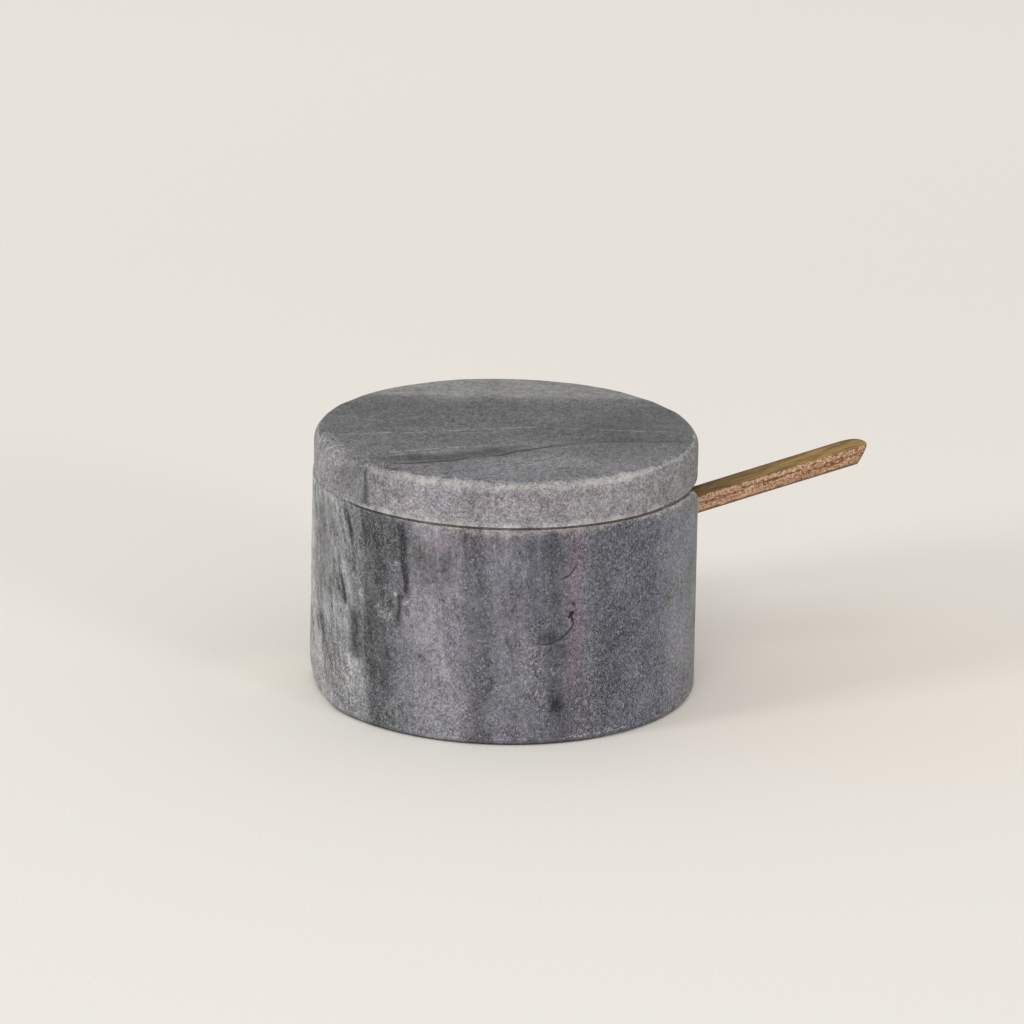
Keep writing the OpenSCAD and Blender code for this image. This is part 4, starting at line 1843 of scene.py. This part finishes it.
BOWL_TRACES = (
    *drawn(
        Mark.DARK,
        (1.0, 1.45,
            (-31.3, 52.2), (-30.8, 50.5), (-30.2, 47.5), (-29.8, 42.3), (-29.0, 38.7), (-28.9, 34.8),
        ),
        (0.65, 0.9, (-28.9, 34.8), (-31.3, 34.0), (-31.4, 28.7), (-32.4, 25.6)),
        (1.7, 0.4, (-73.0, 50.5), (-69.5, 46.9), (-65.5, 45.5), (-63.2, 41.9), (-60.5, 38.0)),
        (0.7, 1.1, (-52.9, 52.5), (-51.4, 48.9), (-50.1, 46.0), (-49.2, 42.5)),
        (0.6, 0.6, (-50.2, 51.8), (-49.1, 48.0)),
        (0.6, 0.75, (-55.0, 46.8), (-53.2, 42.5)),
        (0.75, 0.72, (-48.9, 44.0), (-48.6, 40.1), (-48.3, 35.5)),
        (0.7, 0.68, (-56.8, 41.0), (-56.0, 35.9), (-56.6, 33.0), (-55.0, 29.5)),
        (0.75, 1.15, (-55.3, 36.0), (-53.6, 30.7), (-52.4, 28.0)),
        (1.3, 0.45, (-71.4, 38.5), (-70.3, 32.6), (-70.7, 23.0)),
        (1.1, 0.5, (-73.2, 22.0), (-69.8, 17.0)),
        (2.3, 1.05, (-48.0, 29.0), (-47.9, 21.5), (-47.0, 15.0)),
        (2.0, 0.4, (-47.9, 34.5), (-47.6, 28.0)),
        (2.1, 0.5, (-41.2, 34.0), (-41.2, 26.0), (-40.6, 20.0)),
        (2.0, 0.45, (-35.9, 23.0), (-35.4, 14.0), (-34.4, 6.5)),
        (2.4, 0.42, (-62.8, 10.0), (-60.8, 5.0)),
        (1.2, 0.4, (-67.2, 16.0), (-66.0, 12.0)),
        (6.5, 0.57, (-28.0, 44.5), (-13.0, 43.5)),
        (1.5, 0.80, (15.8, 27.0), (12.6, 26.8), (9.8, 26.5)),
        (2.1, 0.36, (12.5, 25.0), (15.0, 14.0), (16.0, 7.0)),
        (8.0, 0.55, (-70.0, 53.0), (-68.0, 24.0)),
        (0.5, 0.9, (-75.5, 53.2), (-78.0, 51.0), (-76.5, 47.5)),
        (1.6, 1.0, (15.2, 13.0), (16.2, 7.6)),
    ),
    *drawn(
        Mark.LIGHT,
        (1.9, 0.7, (-50.6, 17.0), (-49.6, 12.5), (-50.2, 5.5)),
        (2.2, 0.45, (-55.2, 19.0), (-53.8, 14.5)),
        (1.2, 0.5, (-53.7, 39.2), (-53.3, 35.2)),
        (0.9, 0.65, (-46.2, 34.0), (-46.0, 31.2)),
        (0.9, 0.6, (-33.4, 43.0), (-33.0, 41.6)),
        (0.7, 0.95, (-33.2, 34.6), (-32.3, 34.0)),
        (0.7, 0.8, (-29.3, 33.6), (-28.7, 32.4)),
        (0.7, 0.9, (-34.6, 29.9), (-33.7, 28.8)),
        (1.7, 0.45, (-38.5, 31.5), (-35.0, 27.5)),
        # Painted light along the seam on the left, lifting the shade in the groove between lid and bowl.
        (0.45, 0.3, (-86.0, 53.2), (-70.0, 53.2), (-57.5, 53.2)),
        (0.6, 0.55, (14.0, 19.5), (14.8, 16.8)),
        (4.5, 0.27, (9.0, 33.0), (9.5, 5.0)),
        (0.3, 0.5, (20.2, 28.8), (22.6, 26.9)),
        # Painted light in a ring just above the floor, lifting the shade where the foot meets it.
        (0.95, 0.9, (-179.0, 0.4), (0.0, 0.4), (179.0, 0.4)),
        (2.4, 0.45, (-80.0, 5.5), (-66.0, 3.5), (-44.0, 1.6)),
    ),
    *drawn(
        Mark.ROSE,
        (1.8, 0.72,
            (21.0, 52.7), (20.8, 45.4), (19.8, 38.1), (21.0, 30.6), (21.2, 23.2), (19.9, 15.9), (18.8, 11.0),
        ),
        (1.2, 0.6, (-20.0, 51.4), (-8.0, 51.2), (9.0, 51.4)),
        (4.0, 0.42, (-25.0, 48.0), (-12.0, 47.0)),
    ),
)

LID_CRACKS = (
    Crack(0.62, 0.0, ((-28.1, -32.3), (-19.2, -31.3), (-11.7, -28.7), (-8.0, -26.0))),
    Crack(0.5, 0.0, ((-8.0, -26.0), (-1.4, -24.3), (1.8, -21.2), (9.2, -16.5), (17.0, -13.0))),
)

LID_THREADS = (
    ((-40.6, -9.9), (-37.1, -8.4), (-30.4, -6.6), (-23.7, -7.0), (-18.0, -4.8)),
    ((-18.0, -4.8), (-1.6, -1.1), (8.1, 0.5), (22.6, -1.0), (40.0, -1.2)),
    ((-28.4, -23.3), (-20.4, -20.3), (-12.9, -18.1), (-8.2, -16.9), (2.0, -15.0)),
    ((-28.3, -25.8), (-20.3, -23.6), (-12.8, -20.6)),
)

LID_TOP_TRACES = (
    *drawn(
        Mark.DARK,
        (3.8, 0.70, (-32.0, -28.5), (-19.2, -27.5), (-11.7, -25.5), (-4.0, -21.5), (4.0, -16.5)),
        (0.9, 0.62, (8.0, -17.0), (18.8, -12.2), (32.0, -9.6), (38.7, -9.1), (46.0, -8.7)),
        (2.4, 0.36, (12.0, -12.5), (24.0, -8.5), (44.0, -6.5)),
        (10.0, 0.42, (14.0, 6.0), (44.0, 0.0)),
    ),
    *drawn(
        Mark.LIGHT,
        (8.0, 0.24, (-8.0, -33.0), (22.0, -28.0)),
    ),
)

LID_SIDE_TRACES = (
    *drawn(
        Mark.DARK,
        (0.55, 0.95, (-44.9, 64.5), (-44.9, 59.0)),
        (1.15, 0.85, (-45.0, 60.5), (-44.5, 53.5)),
        (3.0, 0.30, (-58.0, 60.0), (-46.0, 61.5)),
        (2.6, 0.26, (-58.0, 57.0), (-46.0, 56.0)),
    ),
    *drawn(
        Mark.LIGHT,
        (1.8, 0.6, (-42.6, 64.5), (-41.0, 62.5), (-30.0, 62.0)),
        (3.2, 0.62, (-84.0, 62.5), (-54.0, 62.0)),
    ),
    *drawn(
        Mark.ROSE,
        (3.5, 0.24, (-20.0, 59.5), (70.0, 59.5)),
    ),
)


def dress(piece: bpy.types.Object, body: str, node: str) -> None:
    """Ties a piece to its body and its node.

    Args:
        piece: The finished piece.
        body: The body that it rides on.
        node: The CAD node that it stands for.
    """
    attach(piece, body)
    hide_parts(node)
    log.info("%s: %d faces", piece.name, len(piece.data.polygons))


def main() -> None:
    """Builds the studio and the three pieces."""
    logging.basicConfig(level=logging.INFO, format="%(message)s")
    Studio().build()
    effects = Effects()
    low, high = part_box("bowl")
    bowl = Bowl(
        base_r=(high[1] - low[1]) / 2 / MM,
        height=(high[2] - low[2]) / MM,
        finish=BOWL_STONE,
        cracks=BOWL_CRACKS,
        pits=BOWL_PITS,
        traces=BOWL_TRACES,
    )
    dress(bowl.build(effects), "bowl", "bowl")
    low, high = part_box("lid")
    lid = Lid(
        radius=(high[1] - low[1]) / 2 / MM,
        seat_z=bowl.height,
        top_z=high[2] / MM,
        finish=LID_STONE,
        cracks=LID_CRACKS,
        threads=LID_THREADS,
        top_traces=LID_TOP_TRACES,
        side_traces=LID_SIDE_TRACES,
    )
    dress(lid.build(effects), "lid", "lid")
    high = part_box("spoon")[1]
    spoon = Spoon()
    reach = high[0] / MM - spoon.end_gap - spoon.centre[0]
    spoon.handle_end = reach / math.cos(math.radians(spoon.slope))
    dress(spoon.build(effects), "spoon", "spoon")


if __name__ == "__main__":
    main()
